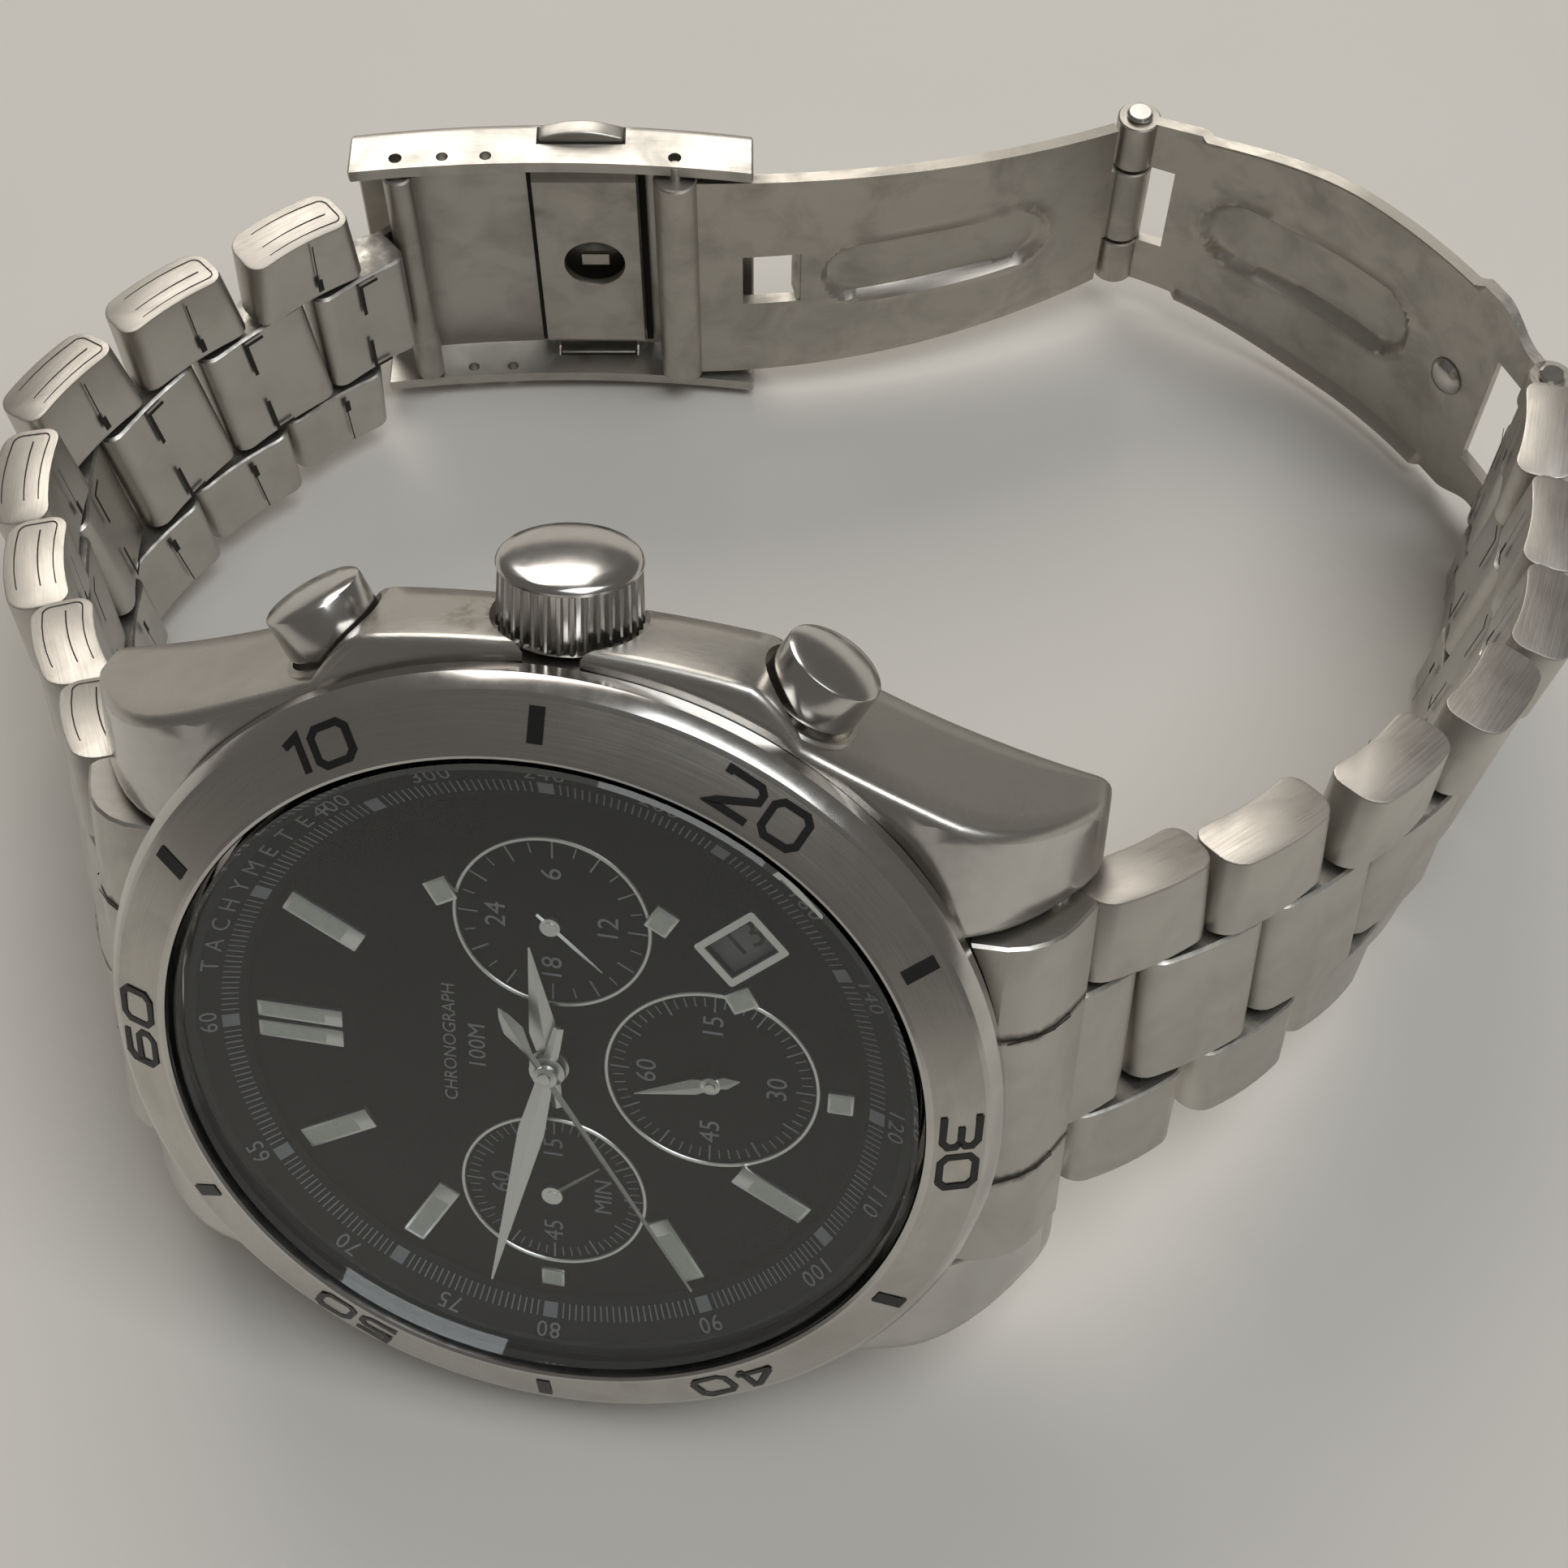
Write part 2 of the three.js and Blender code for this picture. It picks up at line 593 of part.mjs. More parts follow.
// ---- The bracelet -------------------------------------------------------------------
// A link's own axes: X along the bracelet, Y along its pins.  Its side blocks hold the
// pin at the origin, and its centre block reaches round the next link's pin.
function linkBody({ widthIn, widthOut, reach = 0, holdsPin = true, cradle = false }) {
  const half = LINK_THICKNESS / 2;
  const offset = PITCH / 4;
  const inner = CENTRE_WIDTH / 2 + CENTRE_GAP;
  const sideX0 = -offset + SEAM / 2;
  const sideX1 = PITCH - offset - SEAM / 2;
  const sides = [];
  for (const s of [-1, 1]) {
    const g = slabXZ(roundedRectangle(sideX0, sideX1, -half, half, 1.25), inner, widthIn / 2, 2);
    flareEnds(g, inner, widthIn, widthOut, (sideX0 + sideX1) / 2);
    if (s < 0) g.rotateX(Math.PI);
    sides.push(solid(g));
  }
  const next = PITCH + reach;
  const centreEnd = cradle ? next - 0.9 : next + offset - SEAM / 2;
  const centre = slabXZ(
    roundedRectangle(offset + SEAM / 2, centreEnd, -half + 0.1, half - 0.1, cradle ? 0.3 : 1.2),
    -CENTRE_WIDTH / 2,
    CENTRE_WIDTH / 2,
    2,
  );
  const core = box(offset + 0.7, sideX1 - 0.5, -inner - 0.4, inner + 0.4, -half + 0.5, half - 0.5);
  let body = union(solid(centre), solid(core), ...sides);
  if (holdsPin) body = body.add(solid(barY(PIN_R, -inner - 0.4, inner + 0.4, 0, 0, 8)));
  return cut(body, solid(barY(PIN_R + LINK_PLAY, -inner, inner, next, 0, 12)));
}

// Narrows a side block towards its outer face and follows the bracelet's taper.
function flareEnds(geometry, inner, widthIn, widthOut, middle) {
  const p = geometry.attributes.position;
  for (let i = 0; i < p.count; i++) {
    const outward = (p.getY(i) - inner) / (widthIn / 2 - inner);
    const x = p.getX(i);
    const along = THREE.MathUtils.clamp((x - middle) / PITCH + 0.5, 0, 1);
    const taper = ((widthOut - widthIn) / 2) * along * outward;
    p.setX(i, x - (Math.sign(x - middle) * outward * SEAM_FLARE) / 2);
    p.setY(i, p.getY(i) + taper);
  }
}

// One half of the bracelet, as a chain of groups, each turned from the one before it.
function bracelet(head, half, hour) {
  const turn = half.side;
  let carrier = head;
  for (let i = 0; i < LINKS; i++) {
    const last = i === LINKS - 1;
    const link = jointed(carrier, `link_${hour}_${i + 1}_pin`, "hinge", [0, -turn, 0]);
    if (i === 0) {
      link.position.set(turn * PIVOT_X, 0, PIVOT_Z);
      const mirrored = turn < 0 ? Math.PI : 0;
      const base = new THREE.Matrix4().makeRotationY(mirrored);
      base.multiply(poseOf(half, i));
      link.quaternion.setFromRotationMatrix(base);
    } else {
      link.position.set(PITCH, 0, 0);
      link.quaternion.setFromRotationMatrix(poseOf(half, i));
    }
    const width = (k) => THREE.MathUtils.lerp(WIDTH_AT_LUGS, WIDTH_AT_CLASP, k / LINKS);
    const body = linkBody({
      widthIn: width(i),
      widthOut: width(i + 1),
      reach: last && turn < 0 ? CLASP_REACH : 0,
      cradle: last && turn > 0,
    });
    part(`link_${hour}_${i + 1}`, body, brushed, link);
    carrier = link;
  }
  return carrier;
}

function poseOf(half, i) {
  const [twist, bend, sway] = [half.twist[i], half.side * half.bend[i], half.sway[i]].map(rad);
  return new THREE.Matrix4().makeRotationFromEuler(new THREE.Euler(twist, bend, sway, "YXZ"));
}

// ---- The clasp -------------------------------------------------------------------------
// Local axes of the cover: X from the spring bar to the blade hinge, Y up along the
// pins, Z to the inside of the wrist loop.
function coverRise(x) {
  const t = (x + COVER_LEAD) / COVER_LENGTH;
  return -COVER_BOW * 4 * t * (1 - t);
}

function coverBody() {
  const x0 = -COVER_LEAD;
  const x1 = x0 + COVER_LENGTH;
  const back = -COVER_DEPTH + 0.9;
  const rise = (width, extra) => (t) => ({
    width,
    rise: coverRise(x0 - extra + (COVER_LENGTH + 2 * extra) * t),
  });
  const shell = solid(bowedStrip(x0, x1, back, back + COVER_DEPTH, 8, rise(COVER_WIDTH, 0)));
  const room = COVER_WIDTH - 2 * COVER_WALL;
  const hollow = bowedStrip(x0 - 1, x1 + 1, back + COVER_WALL, back + COVER_DEPTH + 2, 8, rise(room, 1));
  const button = BUTTON_LENGTH / 2 + 0.15;
  const slot = BUTTON_HEIGHT / 2 + 0.25;
  const slots = box(LATCH_X - button, LATCH_X + button, -20, 20, BUTTON_Z - slot, BUTTON_Z + slot);
  const bores = [0, COVER_HINGE_X].map((x) => solid(barY(PIN_R + 0.25, -20, 20, x, 0, 10)));
  const spare = [2.9, 5.6].map((x) => solid(barY(0.4, -20, 20, x, coverRise(x) / 2 - 0.4, 8)));
  return cut(shell, solid(hollow), solid(slots), ...bores, ...spare);
}

function latchPlate() {
  const half = COVER_WIDTH / 2 - COVER_WALL - 0.1 - BUTTON_TRAVEL - FIT;
  const reach = LATCH_WIDTH / 2;
  const plate = box(LATCH_X - reach, LATCH_X + reach, -half, half, LATCH_Z, LATCH_Z + 0.6);
  return cut(solid(plate), solid(discZ(LATCH_HOLE_R, LATCH_Z - 1, LATCH_Z + 1, LATCH_X, 0, 20)));
}

// A push button that stands out of the cover's side wall; its axis is Y.
function pushButton(direction) {
  const inside = COVER_WIDTH / 2 - COVER_WALL - 0.1;
  const outside = COVER_WIDTH / 2 + BUTTON_PROUD;
  const half = BUTTON_LENGTH / 2;
  const outline = new THREE.Shape();
  outline.moveTo(-half, inside);
  outline.lineTo(half, inside);
  outline.lineTo(half, outside - 0.5);
  outline.quadraticCurveTo(0, outside + 0.5, -half, outside - 0.5);
  const g = slab(outline, BUTTON_Z - BUTTON_HEIGHT / 2, BUTTON_Z + BUTTON_HEIGHT / 2, 8);
  if (direction < 0) g.rotateX(Math.PI);
  const lift = direction < 0 ? 2 * BUTTON_Z : 0;
  g.translate(LATCH_X, 0, lift);
  return solid(g);
}

// A barrel along Y with a bore for its pin.
function barrel(x, y0, y1) {
  return cut(
    solid(barY(BARREL_R, y0, y1, x)),
    solid(barY(PIN_R + FIT, y0 - 1, y1 + 1, x)),
  );
}

function pinAlongY(radius, width, x) {
  return solid(barY(radius, -width / 2, width / 2, x, 0, 12));
}

// The middle blade: hinged to the cover at X = 0, to the lower blade at its far end.
function middleBlade() {
  const start = 0.9;
  const end = MIDDLE_BLADE - 1.6;
  const face = BLADE_THICKNESS / 2;
  const strip = bowedStrip(start, end, -face, face, 10, (t) => ({
    width: THREE.MathUtils.lerp(BLADE_WIDTH + 0.4, HINGE_WIDTH - 0.6, t ** 1.6),
    rise: bladeRise(start + (end - start) * t, MIDDLE_BLADE, MIDDLE_BOW),
  }));
  const tab = bowedStrip(end - 1, MIDDLE_BLADE - 0.9, -face, face, 2, () => ({
    width: TAB_WIDTH,
    rise: 0.15,
  }));
  const full = COVER_WIDTH - 2 * COVER_WALL - 2 * FIT;
  const window = box(LATCH_TO_HINGE - 1.9, LATCH_TO_HINGE + 1.9, -2.2, 2.2, -5, 6);
  const body = union(
    solid(strip),
    solid(tab),
    solid(barY(BARREL_R, -full / 2, full / 2)),
    solid(barY(BARREL_R, -TAB_WIDTH / 2, TAB_WIDTH / 2, MIDDLE_BLADE)),
  );
  const bores = [0, MIDDLE_BLADE].map((x) => solid(barY(PIN_R + FIT, -20, 20, x)));
  return cut(body, solid(window), ...bores);
}

function bladeRise(x, length, bow) {
  const t = x / length;
  return bow * 4 * t * (1 - t);
}

function bladeSlope(x, length, bow) {
  return (bow * 4 * (1 - (2 * x) / length)) / length;
}

// The lower blade: forked at both ends, for the middle blade's tab and the last link.
function lowerBlade() {
  const start = 0.9;
  const end = LOWER_BLADE - 0.9;
  const spread = (t) => Math.min(1, Math.sin(Math.PI * Math.min(t * 1.15, 0.5)) + 0.02);
  const strip = bowedStrip(start, end, -BLADE_THICKNESS / 2, BLADE_THICKNESS / 2, 12, (t) => ({
    width: widthOfLowerBlade(t, spread(t)),
    rise: -bladeRise(start + (end - start) * t, LOWER_BLADE, LOWER_BOW),
  }));
  let body = solid(strip);
  const fork = TAB_WIDTH / 2 + FIT;
  const tongue = CENTRE_WIDTH / 2 + CENTRE_GAP;
  body = cut(
    body,
    solid(box(-3, BARREL_R + 1.6, -fork, fork, -5, 5)),
    solid(box(LOWER_BLADE - BARREL_R - 2.4, LOWER_BLADE + 3, -tongue, tongue, -6, 5)),
    solid(discZ(STUD_R + FIT, -9, 5, STUD_X, 0, 16)),
    solid(barY(PIN_R + FIT, -20, 20, 0)),
    solid(barY(PIN_R + FIT, -20, 20, LOWER_BLADE)),
  );
  for (const s of [-1, 1]) {
    const near = [s * fork, (s * HINGE_WIDTH) / 2].sort((a, b) => a - b);
    const far = [s * tongue, (s * END_FORK) / 2].sort((a, b) => a - b);
    body = body.add(barrel(0, ...near)).add(barrel(LOWER_BLADE, ...far));
  }
  return body;
}

function widthOfLowerBlade(t, spread) {
  const wide = THREE.MathUtils.lerp(HINGE_WIDTH, BLADE_WIDTH, spread);
  const ending = THREE.MathUtils.smoothstep(t, 0.86, 0.97);
  return THREE.MathUtils.lerp(wide, END_FORK, ending);
}

// The stud that snaps through the middle blade's window into the latch plate.  It is
// riveted through the blade, so it has a flat head on the inside.
function latchStud() {
  const face = BLADE_THICKNESS / 2 + 0.1;
  const g = new THREE.LatheGeometry(
    [
      [0, -face - 0.4],
      [STUD_R + 0.5, -face - 0.4],
      [STUD_R + 0.5, -face],
      [STUD_R, -face],
      [STUD_R, face + 0.9],
      [STUD_R + 0.5, face + 1.1],
      [STUD_R + 0.5, face + 1.6],
      [STUD_R - 0.2, face + 2.0],
      [0, face + 2.0],
    ].map(([r, z]) => new THREE.Vector2(r, z)),
    16,
  );
  g.rotateX(-Math.PI / 2);
  return g;
}

// ---- Assembly ---------------------------------------------------------------------------
const watch = new THREE.Group();
const head = new THREE.Group();
head.rotation.set(rad(90 - HEAD_LEAN), -rad(HEAD_ROLL), 0, "YXZ");
watch.add(head);

part("case_middle", caseMiddle(), brushed, head);
part("bezel", turned(bezelProfile(), 64), brushed, head);
const crystalFoot = CRYSTAL_TOP - CRYSTAL_THICKNESS;
part("crystal", discZ(BEZEL_OPENING_R - FIT, crystalFoot, CRYSTAL_TOP, 0, 0, 48), glass, head);
part(
  "crystal_gasket",
  ring(BORE_R - 0.7, BORE_R - 0.1, crystalFoot - 0.6, crystalFoot - 0.25, 32),
  rubber,
  head,
);
const scaleFoot = DIAL_TOP + FIT;
part(
  "tachymeter_ring",
  turned([
    [BORE_R - FIT - SCALE_RING_WIDTH, scaleFoot],
    [BORE_R - FIT, scaleFoot],
    [BORE_R - FIT, scaleFoot + SCALE_RING_RISE],
    [BORE_R - FIT - 0.4, scaleFoot + SCALE_RING_RISE],
    [BORE_R - FIT - SCALE_RING_WIDTH, scaleFoot + 0.15],
  ]),
  black,
  head,
);
part("dial", dialPlate(), black, head);
part("movement", movementBody(), brass, head);
part("movement_holder", movementHolder(), plastic, head);
part(
  "battery",
  discZ(CELL_R, MOVEMENT_BOTTOM + 0.1, MOVEMENT_BOTTOM + 0.1 + CELL_HEIGHT, ...CELL_PLACE, 24),
  polished,
  head,
);
part(
  "motor_coil",
  barY(COIL_R, -COIL_LENGTH / 2, COIL_LENGTH / 2, COIL_X, MOVEMENT_BOTTOM + COIL_R + FIT, 10),
  copper,
  head,
);
part(
  "case_back",
  turned([
    [0, CASE_BOTTOM - FIT - BACK_THICKNESS],
    [BACK_FLANGE_R - 0.6, CASE_BOTTOM - FIT - BACK_THICKNESS],
    [BACK_FLANGE_R, CASE_BOTTOM - FIT - BACK_THICKNESS + 0.5],
    [BACK_FLANGE_R, CASE_BOTTOM - FIT],
    [BORE_R - FIT, CASE_BOTTOM - FIT],
    [BORE_R - FIT, CASE_BOTTOM],
    [0, CASE_BOTTOM],
  ]),
  polished,
  head,
);
part(
  "case_back_gasket",
  ring(BORE_R - 1.5, BORE_R - 0.4, CASE_BOTTOM + 0.15, CASE_BOTTOM + 0.45, 32),
  rubber,
  head,
);
const barHalf = LUG_SPACE / 2 + SPRING_BAR_END;
for (const [name, side] of [
  ["12", -1],
  ["6", 1],
]) {
  part(`end_link_${name}`, endLink(side), brushed, head);
  part(
    `spring_bar_${name}`,
    barY(SPRING_BAR_R, -barHalf, barHalf, side * SPRING_BAR_X, SPRING_BAR_Z, 12),
    brushed,
    head,
  );
}

// The date ring turns behind the dial.
const dateTurn = jointed(head, "date_ring_turn", "continuous", [0, 0, 1]);
const dateTop = DIAL_TOP - DIAL_THICKNESS - 0.35;
const dateInner = DATE.r - 0.58 * DATE_RING_WIDTH;
const dateRing = ring(dateInner, dateInner + DATE_RING_WIDTH, dateTop - 0.3, dateTop, 32);
part("date_ring", dateRing, white, dateTurn);

// Hands.  Each stands on its own arbor or tube and points at its own value.
const hourLevel = DIAL_TOP + 0.55;
const minuteLevel = hourLevel + 0.45;
const chronoLevel = minuteLevel + 0.45;
const counterLevel = DIAL_TOP + 0.28;
const HANDS = [
  {
    name: "hour_hand",
    angle: 82,
    length: DIAL_R * 0.38,
    width: 1.7,
    tail: 2.0,
    tailWidth: 0.9,
    z: hourLevel,
    hub: 1.25,
    bore: 0.75,
  },
  {
    name: "minute_hand",
    angle: 282,
    length: DIAL_R * 0.83,
    width: 1.5,
    tail: 2.2,
    tailWidth: 0.9,
    z: minuteLevel,
    hub: 1.15,
    bore: 0.55,
  },
  {
    name: "chrono_seconds_hand",
    angle: 239,
    length: DIAL_R * 0.825,
    width: 0.5,
    tail: 4.3,
    tailWidth: 1.3,
    z: chronoLevel,
    hub: 0.9,
    arbor: 0.3,
  },
  {
    name: "day_hours_hand",
    on: COUNTER_3,
    angle: 222,
    length: COUNTER_3.hand,
    width: 0.5,
    tail: 0.9,
    tailWidth: 0.4,
    z: counterLevel,
    hub: 0.55,
    arbor: 0.35,
  },
  {
    name: "small_seconds_hand",
    on: COUNTER_6,
    angle: 342,
    length: COUNTER_6.hand,
    width: 1.0,
    tail: 1.4,
    tailWidth: 0.9,
    z: counterLevel,
    hub: 0.6,
    arbor: 0.35,
  },
  {
    name: "chrono_minutes_hand",
    on: COUNTER_9,
    angle: 138,
    length: COUNTER_9.hand,
    width: 0.5,
    tail: 0.9,
    tailWidth: 0.4,
    z: counterLevel,
    hub: 0.7,
    arbor: 0.35,
  },
];
for (const h of HANDS) {
  const turn = jointed(head, h.name.replace("_hand", "_turn"), "continuous", [0, 0, -1]);
  if (h.on) turn.position.set(...onDial(h.on.r, h.on.angle), 0);
  turn.rotation.z = Math.PI - rad(h.angle);
  part(h.name, hand(h), polished, turn);
}

// Crown: it pulls out to set the time, and turns.
const pull = jointed(head, "crown_pull", "slide", [0, 1, 0]);
pull.position.set(0, 0, CONTROL_Z);
part("setting_sleeve", settingSleeve(), brass, pull);
const crownTurn = jointed(pull, "crown_turn", "continuous", [0, 1, 0]);
part("crown", crownBody(), polished, crownTurn);
const stem = barY(STEM_R, SLEEVE_START + FIT, CROWN_BASE + 1.6, 0, 0, 12);
part("crown_stem", stem, brushed, crownTurn);

for (const [name, side] of [
  ["start", -1],
  ["reset", 1],
]) {
  const seat = new THREE.Group();
  seat.position.set(0, 0, CONTROL_Z);
  seat.rotation.z = -rad(side * PUSHER_ANGLE);
  head.add(seat);
  const press = jointed(seat, `${name}_press`, "slide", [0, -1, 0]);
  part(`${name}_pusher`, pusherBody(), polished, press);
}

const lastLink12 = bracelet(head, HALF_12, "12");
const lastLink6 = bracelet(head, HALF_6, "6");

// The cover hangs on the last link's spring bar and stands upright.
const coverTurn = jointed(lastLink12, "cover_pin", "hinge", [0, 1, 0]);
coverTurn.position.set(PITCH + CLASP_REACH, 0, 0);
watch.updateMatrixWorld(true);
const upright = new THREE.Matrix4().makeRotationY(rad(CLASP_TILT));
upright.multiply(new THREE.Matrix4().makeRotationZ(rad(COVER_HEADING)));
upright.multiply(new THREE.Matrix4().makeRotationX(Math.PI / 2));
const carried = new THREE.Matrix4().extractRotation(lastLink12.matrixWorld).invert();
coverTurn.quaternion.setFromRotationMatrix(carried.multiply(upright));

part("clasp_cover", coverBody(), brushed, coverTurn);
part("latch_plate", latchPlate(), pressed, coverTurn);
part("clasp_spring_bar", pinAlongY(PIN_R, COVER_WIDTH - 0.4, 0), brushed, coverTurn);
part("blade_hinge_pin", pinAlongY(PIN_R, COVER_WIDTH - 0.4, COVER_HINGE_X), brushed, coverTurn);
for (const [name, direction] of [
  ["upper", 1],
  ["lower", -1],
]) {
  const press = jointed(coverTurn, `${name}_button_press`, "slide", [0, -direction, 0]);
  part(`${name}_push_button`, pushButton(direction), polished, press);
}

// The two blades reach from the cover's hinge to the end of the other half, so their
// angles follow from where those two points are.
const middle = jointed(coverTurn, "middle_blade_fold", "hinge", [0, -1, 0]);
middle.position.set(COVER_HINGE_X, 0, 0);
const lower = jointed(middle, "lower_blade_fold", "hinge", [0, 1, 0]);
lower.position.set(MIDDLE_BLADE, 0, 0);
watch.updateMatrixWorld(true);
const target = lastLink6.localToWorld(new THREE.Vector3(PITCH, 0, 0));
coverTurn.worldToLocal(target);
const reachX = target.x - COVER_HINGE_X;
const span = Math.hypot(reachX, target.z);
const towards = Math.atan2(target.z, reachX);
const [a, b] = [MIDDLE_BLADE, LOWER_BLADE];
const cornerCosine = (a ** 2 + span ** 2 - b ** 2) / (2 * a * span);
const elbowCosine = (a ** 2 + b ** 2 - span ** 2) / (2 * a * b);
middle.rotation.y = -(towards - Math.acos(THREE.MathUtils.clamp(cornerCosine, -1, 1)));
lower.rotation.y = -(Math.PI - Math.acos(THREE.MathUtils.clamp(elbowCosine, -1, 1)));

part("middle_blade", middleBlade(), pressed, middle);
part("lower_blade", lowerBlade(), pressed, lower);
part("fold_pin", pinAlongY(PIN_R, HINGE_WIDTH - 0.2, 0), brushed, lower);
part("bracelet_end_pin", pinAlongY(PIN_R, END_FORK - 0.2, LOWER_BLADE), brushed, lower);
const stud = part("latch_stud", latchStud(), polished, lower);
stud.position.set(STUD_X, 0, -bladeRise(STUD_X, LOWER_BLADE, LOWER_BOW));
stud.rotation.y = Math.atan(bladeSlope(STUD_X, LOWER_BLADE, LOWER_BOW));

// The origin is under the middle of the whole watch, on the floor.
watch.updateMatrixWorld(true);
const bounds = new THREE.Box3().setFromObject(watch, true);
const centre = bounds.getCenter(new THREE.Vector3());
const whole = new THREE.Group();
watch.position.set(-centre.x, -centre.y, -bounds.min.z);
whole.add(watch);

export default whole;
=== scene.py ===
"""A steel chronograph wristwatch lying on its side with its clasp unfolded.

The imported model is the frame.  Each class below builds one sub-assembly in that
sub-assembly's own axes, in millimetres, and sets it in place from the joints of the
frame.  The head's axes are X to six o'clock, Y to three o'clock and Z out of the dial.
A link's are X along the bracelet, Y along its pin and Z to the outside.  The clasp's
are X along the clasp, Y along its pins and Z to the inside of the wrist.
"""

import json
import logging
import math
from collections.abc import Callable, Iterable, Sequence
from dataclasses import dataclass, field
from enum import Enum

import bmesh
import bpy
from mathutils import Matrix, Vector
from mathutils.geometry import delaunay_2d_cdt

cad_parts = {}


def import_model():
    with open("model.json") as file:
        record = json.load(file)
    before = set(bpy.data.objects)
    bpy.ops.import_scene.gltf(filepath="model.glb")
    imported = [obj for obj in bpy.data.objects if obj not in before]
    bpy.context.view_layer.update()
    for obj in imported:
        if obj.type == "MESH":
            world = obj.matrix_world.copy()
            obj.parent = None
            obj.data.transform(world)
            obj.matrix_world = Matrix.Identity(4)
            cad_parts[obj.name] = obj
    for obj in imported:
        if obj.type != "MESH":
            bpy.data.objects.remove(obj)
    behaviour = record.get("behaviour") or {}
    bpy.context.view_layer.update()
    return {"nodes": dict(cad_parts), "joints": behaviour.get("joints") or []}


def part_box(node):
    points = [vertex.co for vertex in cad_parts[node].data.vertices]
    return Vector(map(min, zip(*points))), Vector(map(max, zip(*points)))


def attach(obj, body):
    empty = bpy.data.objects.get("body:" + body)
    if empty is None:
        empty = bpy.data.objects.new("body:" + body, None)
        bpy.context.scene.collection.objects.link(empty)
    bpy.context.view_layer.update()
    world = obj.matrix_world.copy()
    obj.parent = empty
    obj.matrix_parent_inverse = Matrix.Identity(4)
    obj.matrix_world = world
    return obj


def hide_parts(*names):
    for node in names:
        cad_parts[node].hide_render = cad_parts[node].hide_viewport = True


log = logging.getLogger("watch")

MM = 0.001
STEM_Z = -6.0  # the crown's and pushers' axis, below the top of the case
PUSHER_TURN = 29  # degrees from the crown to a pusher
COUNTER_DEPTH = 0.12  # how far a counter is sunk in the dial
DATE_AT = (12.3, 138.0)  # the date window's radius and angle on the dial
DATE_HALF = (1.45, 1.05)  # half of the window, along and across the radius
DAY_SHOWN = 13
TAU = 2 * math.pi
Point = tuple[float, float, float]
Flat = tuple[float, float]


# ---- Placing -------------------------------------------------------------------------


class Joints:
    """The frame's joints, which say where each sub-assembly stands."""

    def __init__(self, joints: Sequence[dict]) -> None:
        """Keeps the joints by name."""
        self.by_name = {j["name"]: j for j in joints}

    def pivot(self, name: str) -> Vector:
        """Returns a hinge's pivot, in metres."""
        return Vector(self.by_name[name]["pos_m"])

    def axis(self, name: str) -> Vector:
        """Returns a joint's unit axis."""
        return Vector(self.by_name[name]["axis"]).normalized()


def placement(origin: Vector, along: Vector, up: Vector) -> Matrix:
    """Makes the matrix that sets millimetre axes in the row frame.

    Args:
        origin: Where the local origin goes, in metres.
        along: The direction of local X.
        up: The direction of local Y, made square to X.

    Returns:
        A 4 by 4 matrix from local millimetres to metres.
    """
    x = along.normalized()
    y = (up - up.dot(x) * x).normalized()
    z = x.cross(y)
    turn = Matrix((x, y, z)).transposed().to_4x4()
    return Matrix.Translation(origin) @ turn @ Matrix.Scale(MM, 4)


# ---- Shapes --------------------------------------------------------------------------


@dataclass
class Shape:
    """Loose faces in local millimetres, each with the number of its finish."""

    points: list[Point] = field(default_factory=list)
    faces: list[tuple[int, ...]] = field(default_factory=list)
    finishes: list[int] = field(default_factory=list)

    def add(self, points: Iterable[Point], faces: Iterable[Sequence[int]],
            finish: int = 0) -> "Shape":
        """Adds faces that index their own points."""
        start = len(self.points)
        self.points.extend(tuple(p) for p in points)
        new = [tuple(start + i for i in f) for f in faces]
        self.faces.extend(new)
        self.finishes.extend([finish] * len(new))
        return self

    def join(self, other: "Shape", matrix: Matrix | None = None,
             finish: int | None = None) -> "Shape":
        """Adds another shape, moved by a matrix."""
        start = len(self.points)
        if matrix is None:
            self.points.extend(other.points)
        else:
            self.points.extend(tuple(matrix @ Vector(p)) for p in other.points)
        self.faces.extend(tuple(start + i for i in f) for f in other.faces)
        self.finishes.extend(other.finishes if finish is None else [finish] * len(other.faces))
        return self

    def moved(self, matrix: Matrix) -> "Shape":
        """Returns a copy moved by a matrix."""
        return Shape().join(self, matrix)


def turn_z(angle: float) -> Matrix:
    """Returns a turn round Z by an angle in radians."""
    return Matrix.Rotation(angle, 4, "Z")


def shift(x: float, y: float, z: float = 0.0) -> Matrix:
    """Returns a shift by x, y and z."""
    return Matrix.Translation((x, y, z))


Y_AXIS = Matrix.Rotation(-math.pi / 2, 4, "X")  # sets local Z along Y


def lathe(profile: Sequence[Flat], sides: int = 96, finish: int = 0, closed: bool = True) -> Shape:
    """Turns a profile round Z.

    Args:
        profile: Radius and height of each corner.
        sides: How many steps a full turn takes.
        finish: The number of the finish.
        closed: True joins the last corner to the first.

    Returns:
        The turned shape; corners on the axis become one point each.
    """
    shape = Shape()
    points: list[Point] = []
    rows: list[list[int]] = []
    for r, z in profile:
        if r < 1e-6:
            rows.append([len(points)] * sides)
            points.append((0.0, 0.0, z))
            continue
        rows.append(list(range(len(points), len(points) + sides)))
        turns = [TAU * i / sides for i in range(sides)]
        points.extend((r * math.cos(turn), r * math.sin(turn), z) for turn in turns)
    faces: list[tuple[int, ...]] = []
    count = len(rows)
    for a in range(count if closed else count - 1):
        low, high = rows[a], rows[(a + 1) % count]
        for i in range(sides):
            n = (i + 1) % sides
            corners = [low[i], low[n], high[n], high[i]]
            unique = list(dict.fromkeys(corners))
            if len(unique) > 2:
                faces.append(tuple(unique))
    return shape.add(points, faces, finish)


